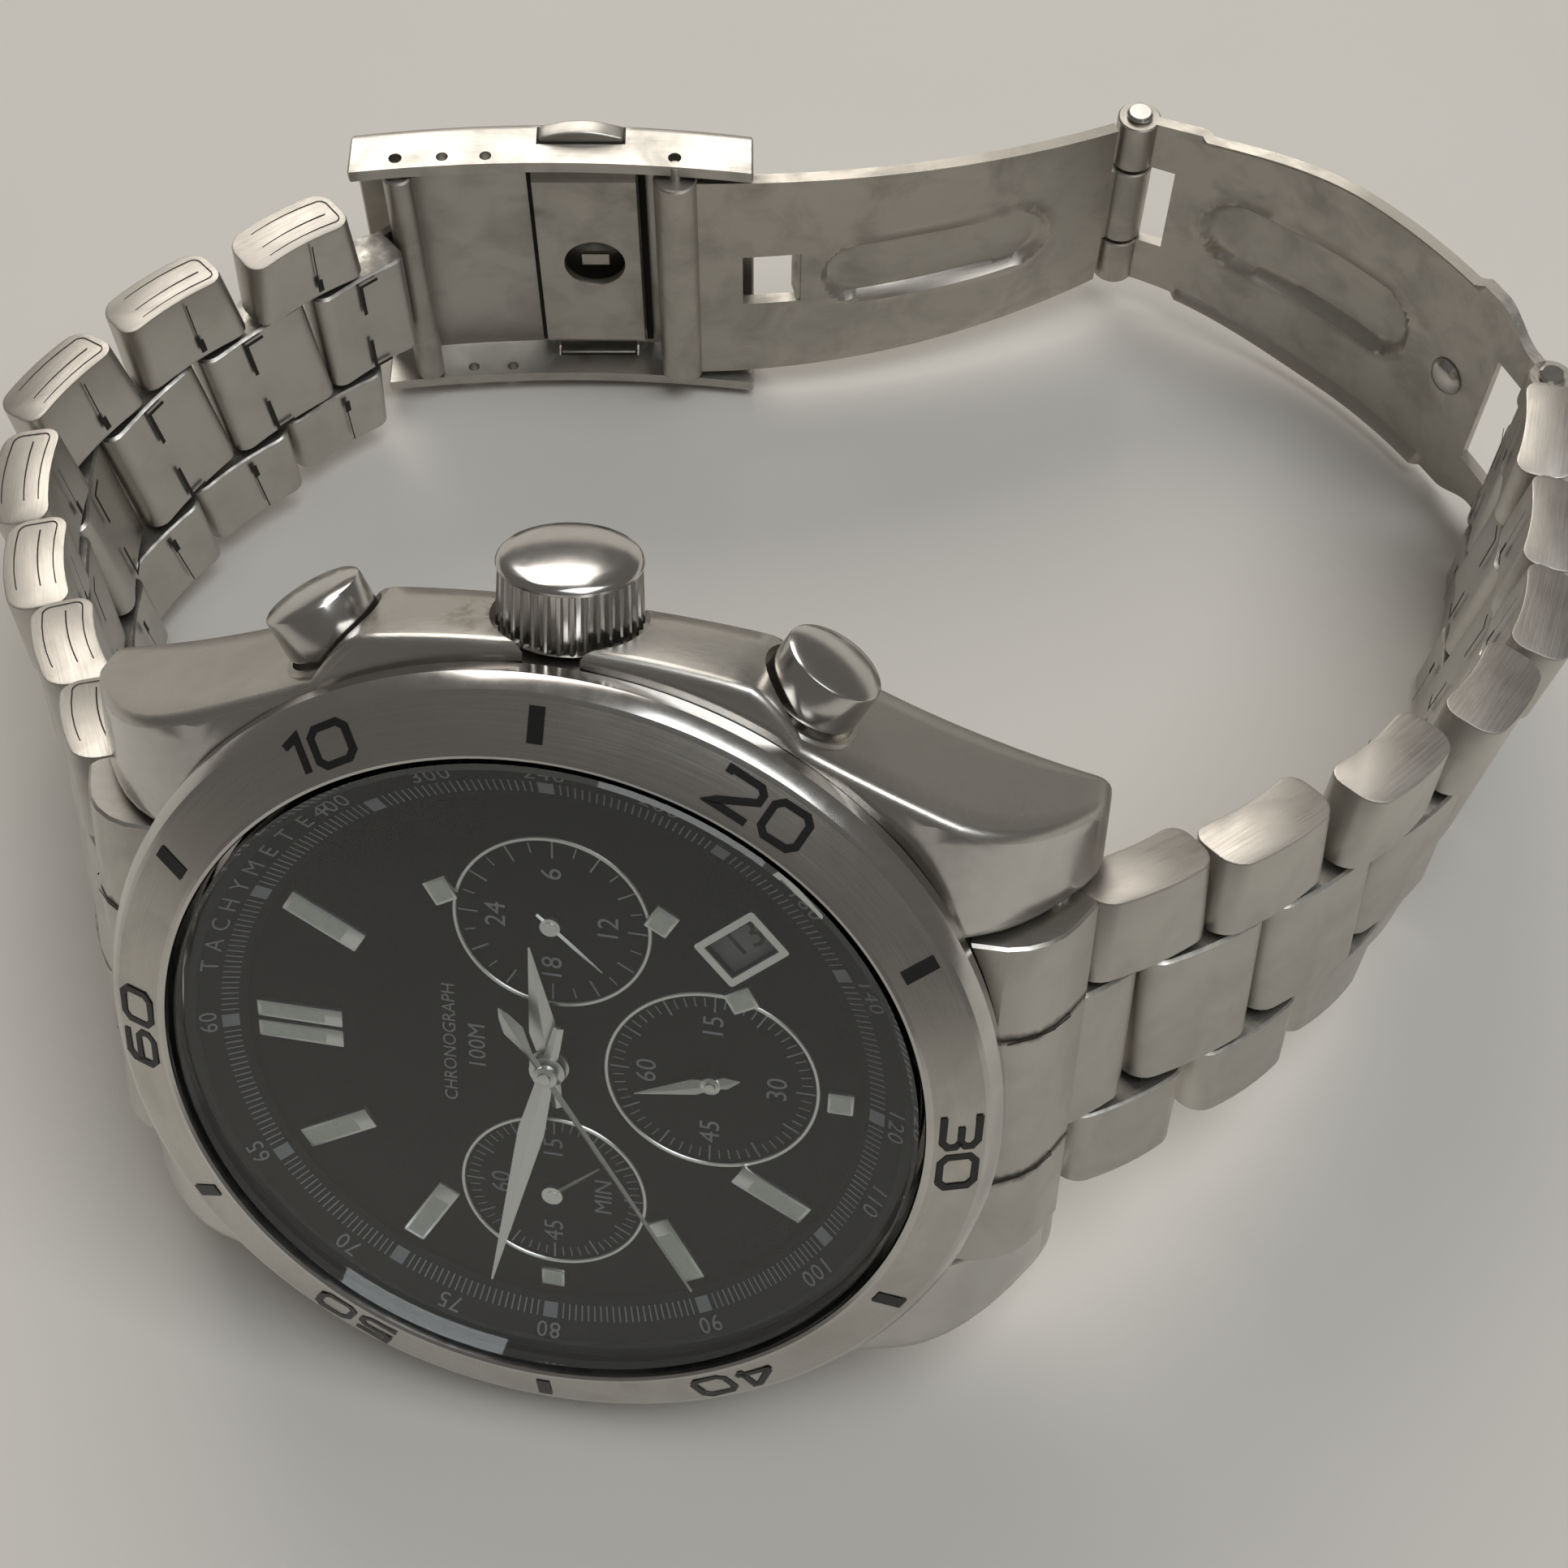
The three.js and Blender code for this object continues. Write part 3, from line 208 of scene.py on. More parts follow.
def prism(outline: Sequence[Flat], z0: float, z1: float, finish: int = 0) -> Shape:
    """Pushes a flat outline from z0 to z1."""
    n = len(outline)
    points = [(x, y, z) for z in (z0, z1) for x, y in outline]
    faces = [tuple(range(n - 1, -1, -1)), tuple(range(n, 2 * n))]
    faces += [(i, (i + 1) % n, n + (i + 1) % n, n + i) for i in range(n)]
    return Shape().add(points, faces, finish)


def block(x0: float, x1: float, y0: float, y1: float, z0: float, z1: float, finish: int = 0) -> Shape:
    """Returns a box between two corners."""
    return prism([(x0, y0), (x1, y0), (x1, y1), (x0, y1)], z0, z1, finish)


def disc(radius: float, z0: float, z1: float, sides: int) -> Shape:
    """Returns a round bar along Z."""
    return lathe([(0, z0), (radius, z0), (radius, z1), (0, z1)], sides, closed=False)


def rod(radius: float, y0: float, y1: float, sides: int = 24, dome: float = 0.0) -> Shape:
    """Returns a round bar along Y, with domed ends if dome is above 0."""
    if dome <= 0:
        return disc(radius, y0, y1, sides).moved(Y_AXIS)
    flat = radius - dome
    profile = [(0.0, y0), (flat, y0), (radius, y0 + dome), (radius, y1 - dome), (flat, y1), (0.0, y1)]
    return lathe(profile, sides, closed=False).moved(Y_AXIS)


def loft(rings: Sequence[Sequence[Point]], finish: int = 0) -> Shape:
    """Skins closed rings of equal length and caps both ends."""
    n = len(rings[0])
    points = [p for ring in rings for p in ring]
    faces = [
        (a * n + i, a * n + (i + 1) % n, (a + 1) * n + (i + 1) % n, (a + 1) * n + i)
        for a in range(len(rings) - 1)
        for i in range(n)
    ]
    last = (len(rings) - 1) * n
    faces.append(tuple(range(n - 1, -1, -1)))
    faces.append(tuple(range(last, last + n)))
    return Shape().add(points, faces, finish)


def stroke(path: Sequence[Flat], width: float, z: float, closed: bool = False, finish: int = 0) -> Shape:
    """Draws a flat line of even width, mitred at its corners."""
    pts = [Vector(p) for p in path]
    n = len(pts)
    left: list[Point] = []
    right: list[Point] = []
    for i, p in enumerate(pts):
        before = pts[i - 1] if i or closed else p - (pts[1] - p)
        after = pts[(i + 1) % n] if i < n - 1 or closed else p + (p - pts[i - 1])
        a, b = (p - before).normalized(), (after - p).normalized()
        side = Vector((-(a.y + b.y), a.x + b.x))
        side = side.normalized() if side.length > 1e-6 else Vector((-a.y, a.x))
        reach = width / 2 / max(0.35, side.dot(Vector((-a.y, a.x))))
        left.append((*(p + side * reach), z))
        right.append((*(p - side * reach), z))
    faces = [(n + i, n + (i + 1) % n, (i + 1) % n, i) for i in range(n if closed else n - 1)]
    return Shape().add(left + right, faces, finish)


def arc(radius: float, a0: float, a1: float, steps: int, cx: float = 0.0, cy: float = 0.0) -> list[Flat]:
    """Returns points on an arc from angle a0 to a1, in radians."""
    angles = [a0 + (a1 - a0) * i / steps for i in range(steps + 1)]
    return [(cx + radius * math.cos(a), cy + radius * math.sin(a)) for a in angles]


def rounded_box(x0: float, x1: float, y0: float, y1: float, r: float, steps: int = 5) -> list[Flat]:
    """Returns the outline of a rectangle with round corners."""
    quarter = math.pi / 2
    corners = [(x1 - r, y0 + r, -quarter), (x1 - r, y1 - r, 0.0),
               (x0 + r, y1 - r, quarter), (x0 + r, y0 + r, 2 * quarter)]
    return [p for cx, cy, a in corners for p in arc(r, a, a + quarter, steps, cx, cy)]


def smoothstep(x: float, low: float, high: float) -> float:
    """Returns 0 below low and 1 above high, with a smooth rise between."""
    t = min(1.0, max(0.0, (x - low) / (high - low)))
    return t * t * (3 - 2 * t)


# ---- Nodes ---------------------------------------------------------------------------


class Wiring:
    """Adds and links the nodes of one tree."""

    def __init__(self, tree: bpy.types.NodeTree) -> None:
        """Keeps the tree."""
        self.tree = tree

    def node(self, kind: str, inputs: dict | None = None, **settings: object) -> bpy.types.Node:
        """Adds a node.

        Args:
            kind: The node's type.
            inputs: By name or number, the socket that feeds an input, or its value.
            settings: The node's own settings, made before its inputs are.

        Returns:
            The node.
        """
        node = self.tree.nodes.new(kind)
        for name, value in settings.items():
            setattr(node, name, value)
        for key, value in (inputs or {}).items():
            if isinstance(value, bpy.types.NodeSocket):
                self.tree.links.new(value, node.inputs[key])
            else:
                node.inputs[key].default_value = value
        return node

    def math(self, operation: str, *values: object) -> bpy.types.NodeSocket:
        """Returns the result of a Math node."""
        return self.node("ShaderNodeMath", dict(enumerate(values)), operation=operation).outputs[0]

    def ramp(self, value: object, low: object, high: object, start: float,
             end: float) -> bpy.types.NodeSocket:
        """Returns a value mapped from low and high to start and end, and held there."""
        return self.node("ShaderNodeMapRange", {
            "Value": value, "From Min": low, "From Max": high, "To Min": start, "To Max": end}).outputs[0]

    def mix(self, factor: object, a: object, b: object) -> bpy.types.NodeSocket:
        """Returns a mix of two colours."""
        inputs = {"Factor": factor, "A": a, "B": b}
        return self.node("ShaderNodeMix", inputs, data_type="RGBA").outputs["Result"]

    def group(self, tree: bpy.types.NodeTree, inputs: dict) -> bpy.types.NodeSocket:
        """Places a shared group and returns its one output."""
        return self.node("ShaderNodeGroup", inputs, node_tree=tree).outputs[0]


def start_material(name: str) -> tuple:
    """Returns a new material, its wiring, its shader's inputs and the local place."""
    material = bpy.data.materials.new(name)
    material.use_nodes = True
    wires = Wiring(material.node_tree)
    place = wires.node("ShaderNodeAttribute", attribute_name="place")
    shader = material.node_tree.nodes["Principled BSDF"]
    return material, wires, shader.inputs, place.outputs["Vector"]


# ---- Workbench -----------------------------------------------------------------------


class Workbench:
    """Turns shapes into meshes, cuts them, and sets finished pieces in the frame."""

    def __init__(self) -> None:
        """Starts with no pieces made."""
        self.made: list[bpy.types.Object] = []

    @staticmethod
    def mesh(shape: Shape, name: str = "work", weld: float = 1e-4) -> bpy.types.Mesh:
        """Makes a welded mesh whose normals point out."""
        mesh = bpy.data.meshes.new(name)
        mesh.from_pydata([tuple(p) for p in shape.points], [], shape.faces)
        mesh.polygons.foreach_set("material_index", shape.finishes)
        work = bmesh.new()
        work.from_mesh(mesh)
        bmesh.ops.remove_doubles(work, verts=work.verts, dist=weld)
        bmesh.ops.recalc_face_normals(work, faces=work.faces)
        work.to_mesh(mesh)
        work.free()
        return mesh

    @staticmethod
    def evaluated(obj: bpy.types.Object) -> bpy.types.Mesh:
        """Returns the mesh of an object with its modifiers applied, and removes the object."""
        bpy.context.view_layer.update()
        graph = bpy.context.evaluated_depsgraph_get()
        mesh = bpy.data.meshes.new_from_object(obj.evaluated_get(graph), depsgraph=graph)
        bpy.data.objects.remove(obj)
        return mesh

    @staticmethod
    def temporary(mesh: bpy.types.Mesh, finishes: int = 3) -> bpy.types.Object:
        """Returns a scratch object that holds a mesh and has empty finish slots."""
        obj = bpy.data.objects.new("scratch", mesh)
        while len(mesh.materials) < finishes:
            mesh.materials.append(None)
        bpy.context.scene.collection.objects.link(obj)
        return obj

    def cut(self, mesh: bpy.types.Mesh, cutter: Shape) -> bpy.types.Mesh:
        """Takes a closed shape away from a closed mesh."""
        body = self.temporary(mesh)
        tool = self.temporary(self.mesh(cutter, "cutter"))
        step = body.modifiers.new("cut", "BOOLEAN")
        step.operation = "DIFFERENCE"
        step.solver = "EXACT"
        step.use_self = False
        step.object = tool
        result = self.evaluated(body)
        bpy.data.objects.remove(tool)
        return result

    def bevel(self, mesh: bpy.types.Mesh, width: float, angle: float = 35.0, segments: int = 2,
              finish: int = -1) -> bpy.types.Mesh:
        """Rounds the sharp edges of a mesh.

        Args:
            mesh: The mesh, in millimetres.
            width: The width of the rounding.
            angle: Edges sharper than this many degrees are rounded.
            segments: Steps across the rounding.
            finish: The finish of the rounding, or -1 for that of its neighbours.

        Returns:
            The rounded mesh.
        """
        obj = self.temporary(mesh)
        step = obj.modifiers.new("round", "BEVEL")
        step.width = width
        step.segments = segments
        step.limit_method = "ANGLE"
        step.angle_limit = math.radians(angle)
        step.material = finish
        step.use_clamp_overlap = True
        step.harden_normals = False
        return self.evaluated(obj)

    @staticmethod
    def as_shape(mesh: bpy.types.Mesh) -> Shape:
        """Returns a mesh's faces as a shape."""
        shape = Shape().add([tuple(v.co) for v in mesh.vertices], [tuple(p.vertices) for p in mesh.polygons])
        shape.finishes = [p.material_index for p in mesh.polygons]
        return shape

    def place(self, name: str, mesh: bpy.types.Mesh, where: Matrix, finishes: Sequence[bpy.types.Material],
              body: str, slot: str, replaced: Sequence[str] = (), smooth: float = 32.0) -> bpy.types.Object:
        """Sets a finished mesh in the frame.

        Each point keeps its local place in millimetres in the attribute "place", which
        the materials read.

        Args:
            name: The piece's name.
            mesh: The mesh, in local millimetres.
            where: The placement of its axes.
            finishes: The materials that the finish numbers mean.
            body: The body it rides on.
            slot: The record's material slot; not used.
            replaced: The CAD nodes that it stands for.
            smooth: Edges flatter than this many degrees shade smooth.

        Returns:
            The piece.
        """
        spot = mesh.attributes.get("place") or mesh.attributes.new("place", "FLOAT_VECTOR", "POINT")
        spot.data.foreach_set("vector", [c for v in mesh.vertices for c in v.co])
        mesh.transform(where)
        worn = [p.material_index for p in mesh.polygons]
        mesh.materials.clear()
        for material in finishes:
            mesh.materials.append(material)
        mesh.polygons.foreach_set("material_index", worn)
        mesh.shade_smooth()
        mesh.set_sharp_from_angle(angle=math.radians(smooth))
        mesh.name = name
        piece = bpy.data.objects.new(name, mesh)
        bpy.context.scene.collection.objects.link(piece)
        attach(piece, body)
        if replaced:
            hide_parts(*replaced)
        self.made.append(piece)
        log.info("%s: %d faces on %s", name, len(mesh.polygons), body)
        return piece


class RadialRepeat:
    """A Geometry Nodes tree that sets copies of one mesh round a circle."""

    INPUTS = (
        ("Count", "NodeSocketInt", 12),
        ("Radius", "NodeSocketFloat", 10.0),
        ("Start", "NodeSocketFloat", 0.0),
        ("Step", "NodeSocketFloat", 0.5),
        ("Copy", "NodeSocketObject", None),
    )

    def __init__(self) -> None:
        """Builds the tree once; every repeat uses it with its own values."""
        tree = bpy.data.node_groups.new("Radial repeat", "GeometryNodeTree")
        self.tree = tree
        self.sockets: dict[str, str] = {}
        tree.interface.new_socket(name="Geometry", in_out="INPUT", socket_type="NodeSocketGeometry")
        for name, kind, value in self.INPUTS:
            socket = tree.interface.new_socket(name=name, in_out="INPUT", socket_type=kind)
            if value is not None:
                socket.default_value = value
            self.sockets[name] = socket.identifier
        tree.interface.new_socket(name="Geometry", in_out="OUTPUT", socket_type="NodeSocketGeometry")
        self._wire(Wiring(tree))

    @staticmethod
    def _wire(wires: Wiring) -> None:
        """Adds and links the tree's nodes."""
        given = wires.node("NodeGroupInput").outputs
        index = wires.node("GeometryNodeInputIndex").outputs[0]
        angle = wires.math("MULTIPLY_ADD", index, given["Step"], given["Start"])
        turn = wires.node("ShaderNodeCombineXYZ", {"Z": angle}).outputs[0]
        across = {
            axis: wires.math("MULTIPLY", wires.math(kind, angle), given["Radius"])
            for axis, kind in (("X", "COSINE"), ("Y", "SINE"))
        }
        place = wires.node("ShaderNodeCombineXYZ", across).outputs[0]
        points = wires.node("GeometryNodePoints", {"Count": given["Count"], "Position": place})
        info = wires.node("GeometryNodeObjectInfo", {0: given["Copy"]})
        copies = wires.node("GeometryNodeInstanceOnPoints", {
            "Points": points.outputs[0], "Instance": info.outputs["Geometry"], "Rotation": turn})
        real = wires.node("GeometryNodeRealizeInstances", {0: copies.outputs[0]})
        dressed = wires.node("GeometryNodeSetMaterial", {"Geometry": real.outputs[0]})
        wires.node("NodeGroupOutput", {0: dressed.outputs[0]})

    def repeat(self, bench: Workbench, copy: Shape, count: int, radius: float,
               start: float = 0.0) -> Shape:
        """Sets copies of a shape evenly round a circle, each turned to face out.

        Args:
            bench: The workbench.
            copy: The shape at angle 0, drawn about its own origin.
            count: How many copies.
            radius: The circle's radius in millimetres.
            start: The first copy's angle in radians.

        Returns:
            All the copies as one shape.
        """
        source = bench.temporary(bench.mesh(copy, "copy"))
        holder = bench.temporary(bpy.data.meshes.new("repeat"))
        modifier = holder.modifiers.new("repeat", "NODES")
        modifier.node_group = self.tree
        values = {"Count": count, "Radius": radius, "Start": start, "Step": TAU / count, "Copy": source}
        for name, value in values.items():
            modifier[self.sockets[name]] = value
        result = Workbench.as_shape(bench.evaluated(holder))
        bpy.data.objects.remove(source)
        return result


# ---- Finishes ------------------------------------------------------------------------


class Grain(Enum):
    """Which way a metal is brushed."""

    ALONG_X = "x"
    ALONG_Y = "y"
    ROUND_Z = "round"
    NONE = "none"


class Groups:
    """The shader node groups that the finishes share."""

    def __init__(self) -> None:
        """Builds each group once."""
        self.grain = self._grain()
        self.smudge = self._smudge()
        self.seam = self._seam()

    @staticmethod
    def _new(name: str, output: str, **inputs: float | Point) -> tuple[Wiring, bpy.types.Node]:
        """Starts a group with a vector input, the named inputs and one output.

        Args:
            name: The group's name.
            output: The name of its output, a mask or value.
            inputs: The default of each other input, by name with _ for a space.

        Returns:
            The group's wiring and its input node.
        """
        tree = bpy.data.node_groups.new(name, "ShaderNodeTree")
        for label, value in {"Vector": (0, 0, 0), **inputs}.items():
            kind = "NodeSocketVector" if isinstance(value, tuple) else "NodeSocketFloat"
            socket = tree.interface.new_socket(name=label, in_out="INPUT", socket_type=kind)
            socket.default_value = value
        tree.interface.new_socket(name=output, in_out="OUTPUT", socket_type="NodeSocketFloat")
        wires = Wiring(tree)
        return wires, wires.node("NodeGroupInput")

    def _grain(self) -> bpy.types.NodeTree:
        """Fine parallel lines: a noise drawn out by a different scale on each axis."""
        wires, group = self._new("Brushed grain", "Lines", Stretch=(1, 20, 20), Detail=4.0)
        given = group.outputs
        scaled = wires.node("ShaderNodeVectorMath", {0: given["Vector"], 1: given["Stretch"]},
                            operation="MULTIPLY")
        noise = wires.node("ShaderNodeTexNoise", {
            "Scale": 1.0, "Detail": given["Detail"], "Roughness": 0.7, "Vector": scaled.outputs[0]})
        wires.node("NodeGroupOutput", {"Lines": noise.outputs["Fac"]})
        return wires.tree

    def _smudge(self) -> bpy.types.NodeTree:
        """Soft patches, such as finger marks and a film of dirt."""
        wires, group = self._new("Smudges", "Mask", Scale=0.3, Low=0.45, High=0.7)
        given = group.outputs
        noise = wires.node("ShaderNodeTexNoise", {
            "Detail": 6.0, "Roughness": 0.6, "Distortion": 0.4, "Vector": given["Vector"],
            "Scale": given["Scale"]})
        mask = wires.ramp(noise.outputs["Fac"], given["Low"], given["High"], 0.0, 1.0)
        wires.node("NodeGroupOutput", {"Mask": mask})
        return wires.tree

    def _seam(self) -> bpy.types.NodeTree:
        """Dirt and painted shade beside a plane of constant Y, on both sides of the middle, where the gap between
        two blocks lies in shade.
        """
        wires, group = self._new("Seam dirt and shade", "Mask", Offset=4.4, Width=0.8)
        given = group.outputs
        parts = wires.node("ShaderNodeSeparateXYZ", {0: given["Vector"]})
        side = wires.math("ABSOLUTE", parts.outputs["Y"])
        away = wires.math("ABSOLUTE", wires.math("SUBTRACT", side, given["Offset"]))
        noise = wires.node("ShaderNodeTexNoise", {"Scale": 1.3, "Detail": 5.0, "Vector": given["Vector"]})
        reach = wires.math("MULTIPLY", noise.outputs["Fac"], given["Width"])
        wires.node("NodeGroupOutput", {"Mask": wires.ramp(away, 0.0, reach, 1.0, 0.0)})
        return wires.tree


@dataclass(frozen=True)
class SteelFinish:
    """One finish of stainless steel."""

    name: str
    colour: Point = (0.55, 0.53, 0.49)
    shade: Point = (0.33, 0.31, 0.28)
    roughness: float = 0.32
    grain: Grain = Grain.ALONG_X
    fineness: float = 14.0
    depth: float = 0.25
    smudges: float = 0.25
    dirt_offset: float = 0.0
    rust: bool = False

    # Near-black for the mask beside the gaps between a link's blocks: dirt and painted shade.
    DIRT = (0.06, 0.05, 0.04)
    STAIN = (0.16, 0.075, 0.02)
    STAIN_AT = (-3.6, 22.6, -5.2)
    ALONG = 0.25  # the grain's scale along its lines

    def material(self, groups: Groups) -> bpy.types.Material:
        """Builds the material, which reads the attribute "place"."""
        material, wires, shader, place = start_material(self.name)
        shader["Metallic"].default_value = 1.0
        fine = self.fineness
        stretch = {
            Grain.ALONG_X: (self.ALONG, fine, fine),
            Grain.ALONG_Y: (fine, self.ALONG, fine),
            Grain.ROUND_Z: (fine, self.ALONG, fine),
            Grain.NONE: (1.2, 1.2, 1.2),
        }[self.grain]
        vector = self._polar(wires, place) if self.grain is Grain.ROUND_Z else place
        lines = wires.group(groups.grain, {"Vector": vector, "Stretch": stretch})
        patches = wires.group(groups.smudge, {"Vector": place, "Scale": 0.28})
        amount = wires.math("MULTIPLY", patches, self.smudges)
        colour = wires.mix(amount, (*self.colour, 1), (*self.shade, 1))
        rough = wires.ramp(lines, 0.3, 0.7, self.roughness * 0.85, self.roughness * 1.2)
        roughness = wires.math("MULTIPLY_ADD", patches, 0.3 * self.smudges, rough)
        # Darkens and roughens the faces beside the gaps between the blocks: dirt with painted shade.
        if self.dirt_offset:
            seam = wires.group(groups.seam, {"Vector": place, "Offset": self.dirt_offset})
            colour = wires.mix(seam, colour, (*self.DIRT, 1))
            roughness = wires.math("MULTIPLY_ADD", seam, 0.3, roughness)
        if self.rust:
            colour = self._rust(wires, groups, place, colour)
        wires.tree.links.new(colour, shader["Base Color"])
        wires.tree.links.new(roughness, shader["Roughness"])
        bump = wires.node("ShaderNodeBump", {"Strength": self.depth, "Distance": 0.00002, "Height": lines})
        wires.tree.links.new(bump.outputs[0], shader["Normal"])
        return material

    @staticmethod
    def _polar(wires: Wiring, vector: bpy.types.NodeSocket) -> bpy.types.NodeSocket:
        """Returns radius, arc length and height in place of X, Y and Z."""
        parts = wires.node("ShaderNodeSeparateXYZ", {0: vector}).outputs
        angle = wires.math("ARCTAN2", parts["Y"], parts["X"])
        flat = wires.node("ShaderNodeVectorMath", {0: vector, 1: (1, 1, 0)}, operation="MULTIPLY")
        length = wires.node("ShaderNodeVectorMath", {0: flat.outputs["Vector"]}, operation="LENGTH")
        around = wires.math("MULTIPLY", angle, 12.0)
        return wires.node("ShaderNodeCombineXYZ", {
            "X": length.outputs["Value"], "Y": around, "Z": parts["Z"]}).outputs[0]

    def _rust(self, wires: Wiring, groups: Groups, vector: bpy.types.NodeSocket,
              colour: bpy.types.NodeSocket) -> bpy.types.NodeSocket:
        """Adds a brown stain round a point at the crown's foot."""
        away = wires.node("ShaderNodeVectorMath", {0: vector, 1: self.STAIN_AT}, operation="DISTANCE")
        near = wires.ramp(away.outputs["Value"], 0.6, 2.6, 1.0, 0.0)
        patches = wires.group(groups.smudge, {"Vector": vector, "Scale": 0.9})
        both = wires.node("ShaderNodeMath", {0: near, 1: patches}, operation="MULTIPLY", use_clamp=True)
        return wires.mix(both.outputs[0], colour, (*self.STAIN, 1))


@dataclass(frozen=True)
class PaintFinish:
    """A coated or printed surface, with a fine speckle in its gloss."""

    name: str
    colour: Point
    roughness: float = 0.5
    speckle: float = 0.1
    scale: float = 6.0
    specular: float = 0.5

    def material(self, groups: Groups) -> bpy.types.Material:
        """Builds the material; it takes the shared node groups."""
        material, wires, shader, place = start_material(self.name)
        shader["Specular IOR Level"].default_value = self.specular
        patches = wires.group(groups.smudge, {"Vector": place, "Scale": self.scale})
        rough = wires.ramp(patches, 0.0, 1.0, self.roughness, min(1.0, self.roughness + self.speckle))
        speck = tuple(c * (1 - self.speckle) for c in self.colour)
        tone = wires.mix(patches, (*self.colour, 1), (*speck, 1))
        wires.tree.links.new(rough, shader["Roughness"])
        wires.tree.links.new(tone, shader["Base Color"])
        return material


@dataclass(frozen=True)
class GlassFinish:
    """The flat mineral crystal, with faint smears in its gloss."""

    name: str = "crystal glass"
    colour: Point = (0.93, 0.96, 0.96)
    roughness: float = 0.02

    def material(self, groups: Groups) -> bpy.types.Material:
        """Builds the material; it takes the shared node groups."""
        material, wires, shader, place = start_material(self.name)
        shader["Transmission Weight"].default_value = 1.0
        shader["IOR"].default_value = 1.45
        shader["Base Color"].default_value = (*self.colour, 1)
        patches = wires.group(groups.smudge, {"Vector": place, "Scale": 0.12})
        rough = wires.ramp(patches, 0.0, 1.0, self.roughness, self.roughness + 0.03)
        wires.tree.links.new(rough, shader["Roughness"])
        return material


class Finishes:
    """Every material of the watch, by what it is on."""

    def __init__(self) -> None:
        """Builds the shared groups and then each finish."""
        g = Groups()
        self.case = SteelFinish("satin case steel", roughness=0.3,
                                rust=True).material(g)
        self.polished = SteelFinish("polished steel", colour=(0.6, 0.585, 0.56), roughness=0.17,
                                    grain=Grain.NONE, depth=0.06, smudges=0.2).material(g)
        self.bezel = SteelFinish("brushed bezel steel", roughness=0.27, grain=Grain.ROUND_Z,
                                 depth=0.3).material(g)
        # The link steel darkens beside the gaps between its blocks: dirt and painted shade.
        self.link = SteelFinish("brushed link steel", roughness=0.34,
                                dirt_offset=4.4, depth=0.3).material(g)
        # Rougher steel for the outer side faces of the links; its darker colour is painted shade on those faces.
        self.link_side = SteelFinish("link edge steel with painted shade", roughness=0.42,
                                     depth=0.3, colour=(0.5, 0.47, 0.43)).material(g)
        self.clasp = SteelFinish("clasp steel", roughness=0.36, fineness=10.0,
                                 colour=(0.52, 0.5, 0.46), smudges=0.45).material(g)
        self.blade = SteelFinish("pressed blade steel", roughness=0.38,
                                 fineness=6.0, colour=(0.5, 0.47, 0.42), smudges=0.55, depth=0.2).material(g)
        self.pin = SteelFinish("pin steel", roughness=0.4, grain=Grain.ALONG_Y,
                               colour=(0.45, 0.43, 0.39), smudges=0.5).material(g)
        # Near-black paint for the slits, fold lines, grooves, hidden bars and gaps of the bracelet and clasp:
        # painted shade.
        self.grime = PaintFinish("grime", (0.018, 0.014, 0.01), 0.8).material(g)
        self.black = PaintFinish("black fill", (0.01, 0.01, 0.01), 0.35).material(g)
        self.dial = PaintFinish("black dial lacquer", (0.0025, 0.0025, 0.003), 0.55, 0.05, 0.5,
                                0.15).material(g)
        self.ring = PaintFinish("black flange coat", (0.004, 0.004, 0.005), 0.55, 0.1, 6.0,
                                0.2).material(g)
        self.ink = PaintFinish("dim print", (0.34, 0.34, 0.36), 0.5).material(g)
        self.lume = PaintFinish("luminous paint", (0.8, 0.8, 0.72), 0.6, 0.1, 3.0).material(g)
        # The date disc's mid grey is painted shade on a light disc that sits in shade under the dial.
        self.date = PaintFinish("date disc with painted shade", (0.3, 0.3, 0.3), 0.6).material(g)
        self.hand = SteelFinish("hand steel", colour=(0.86, 0.85, 0.83), roughness=0.34,
                                depth=0.05, smudges=0.05).material(g)
        self.rubber = PaintFinish("gasket rubber", (0.02, 0.02, 0.02), 0.8).material(g)
        self.brass = SteelFinish("movement plate", colour=(0.6, 0.46, 0.25),
                                 shade=(0.4, 0.3, 0.15), grain=Grain.ALONG_Y).material(g)
        self.copper = SteelFinish("copper wire", colour=(0.6, 0.3, 0.16), shade=(0.3, 0.12, 0.06),
                                  grain=Grain.ALONG_X).material(g)
        self.plastic = PaintFinish("moulded holder", (0.6, 0.58, 0.5), 0.5).material(g)
        self.glass = GlassFinish().material(g)


# ---- Lettering -----------------------------------------------------------------------


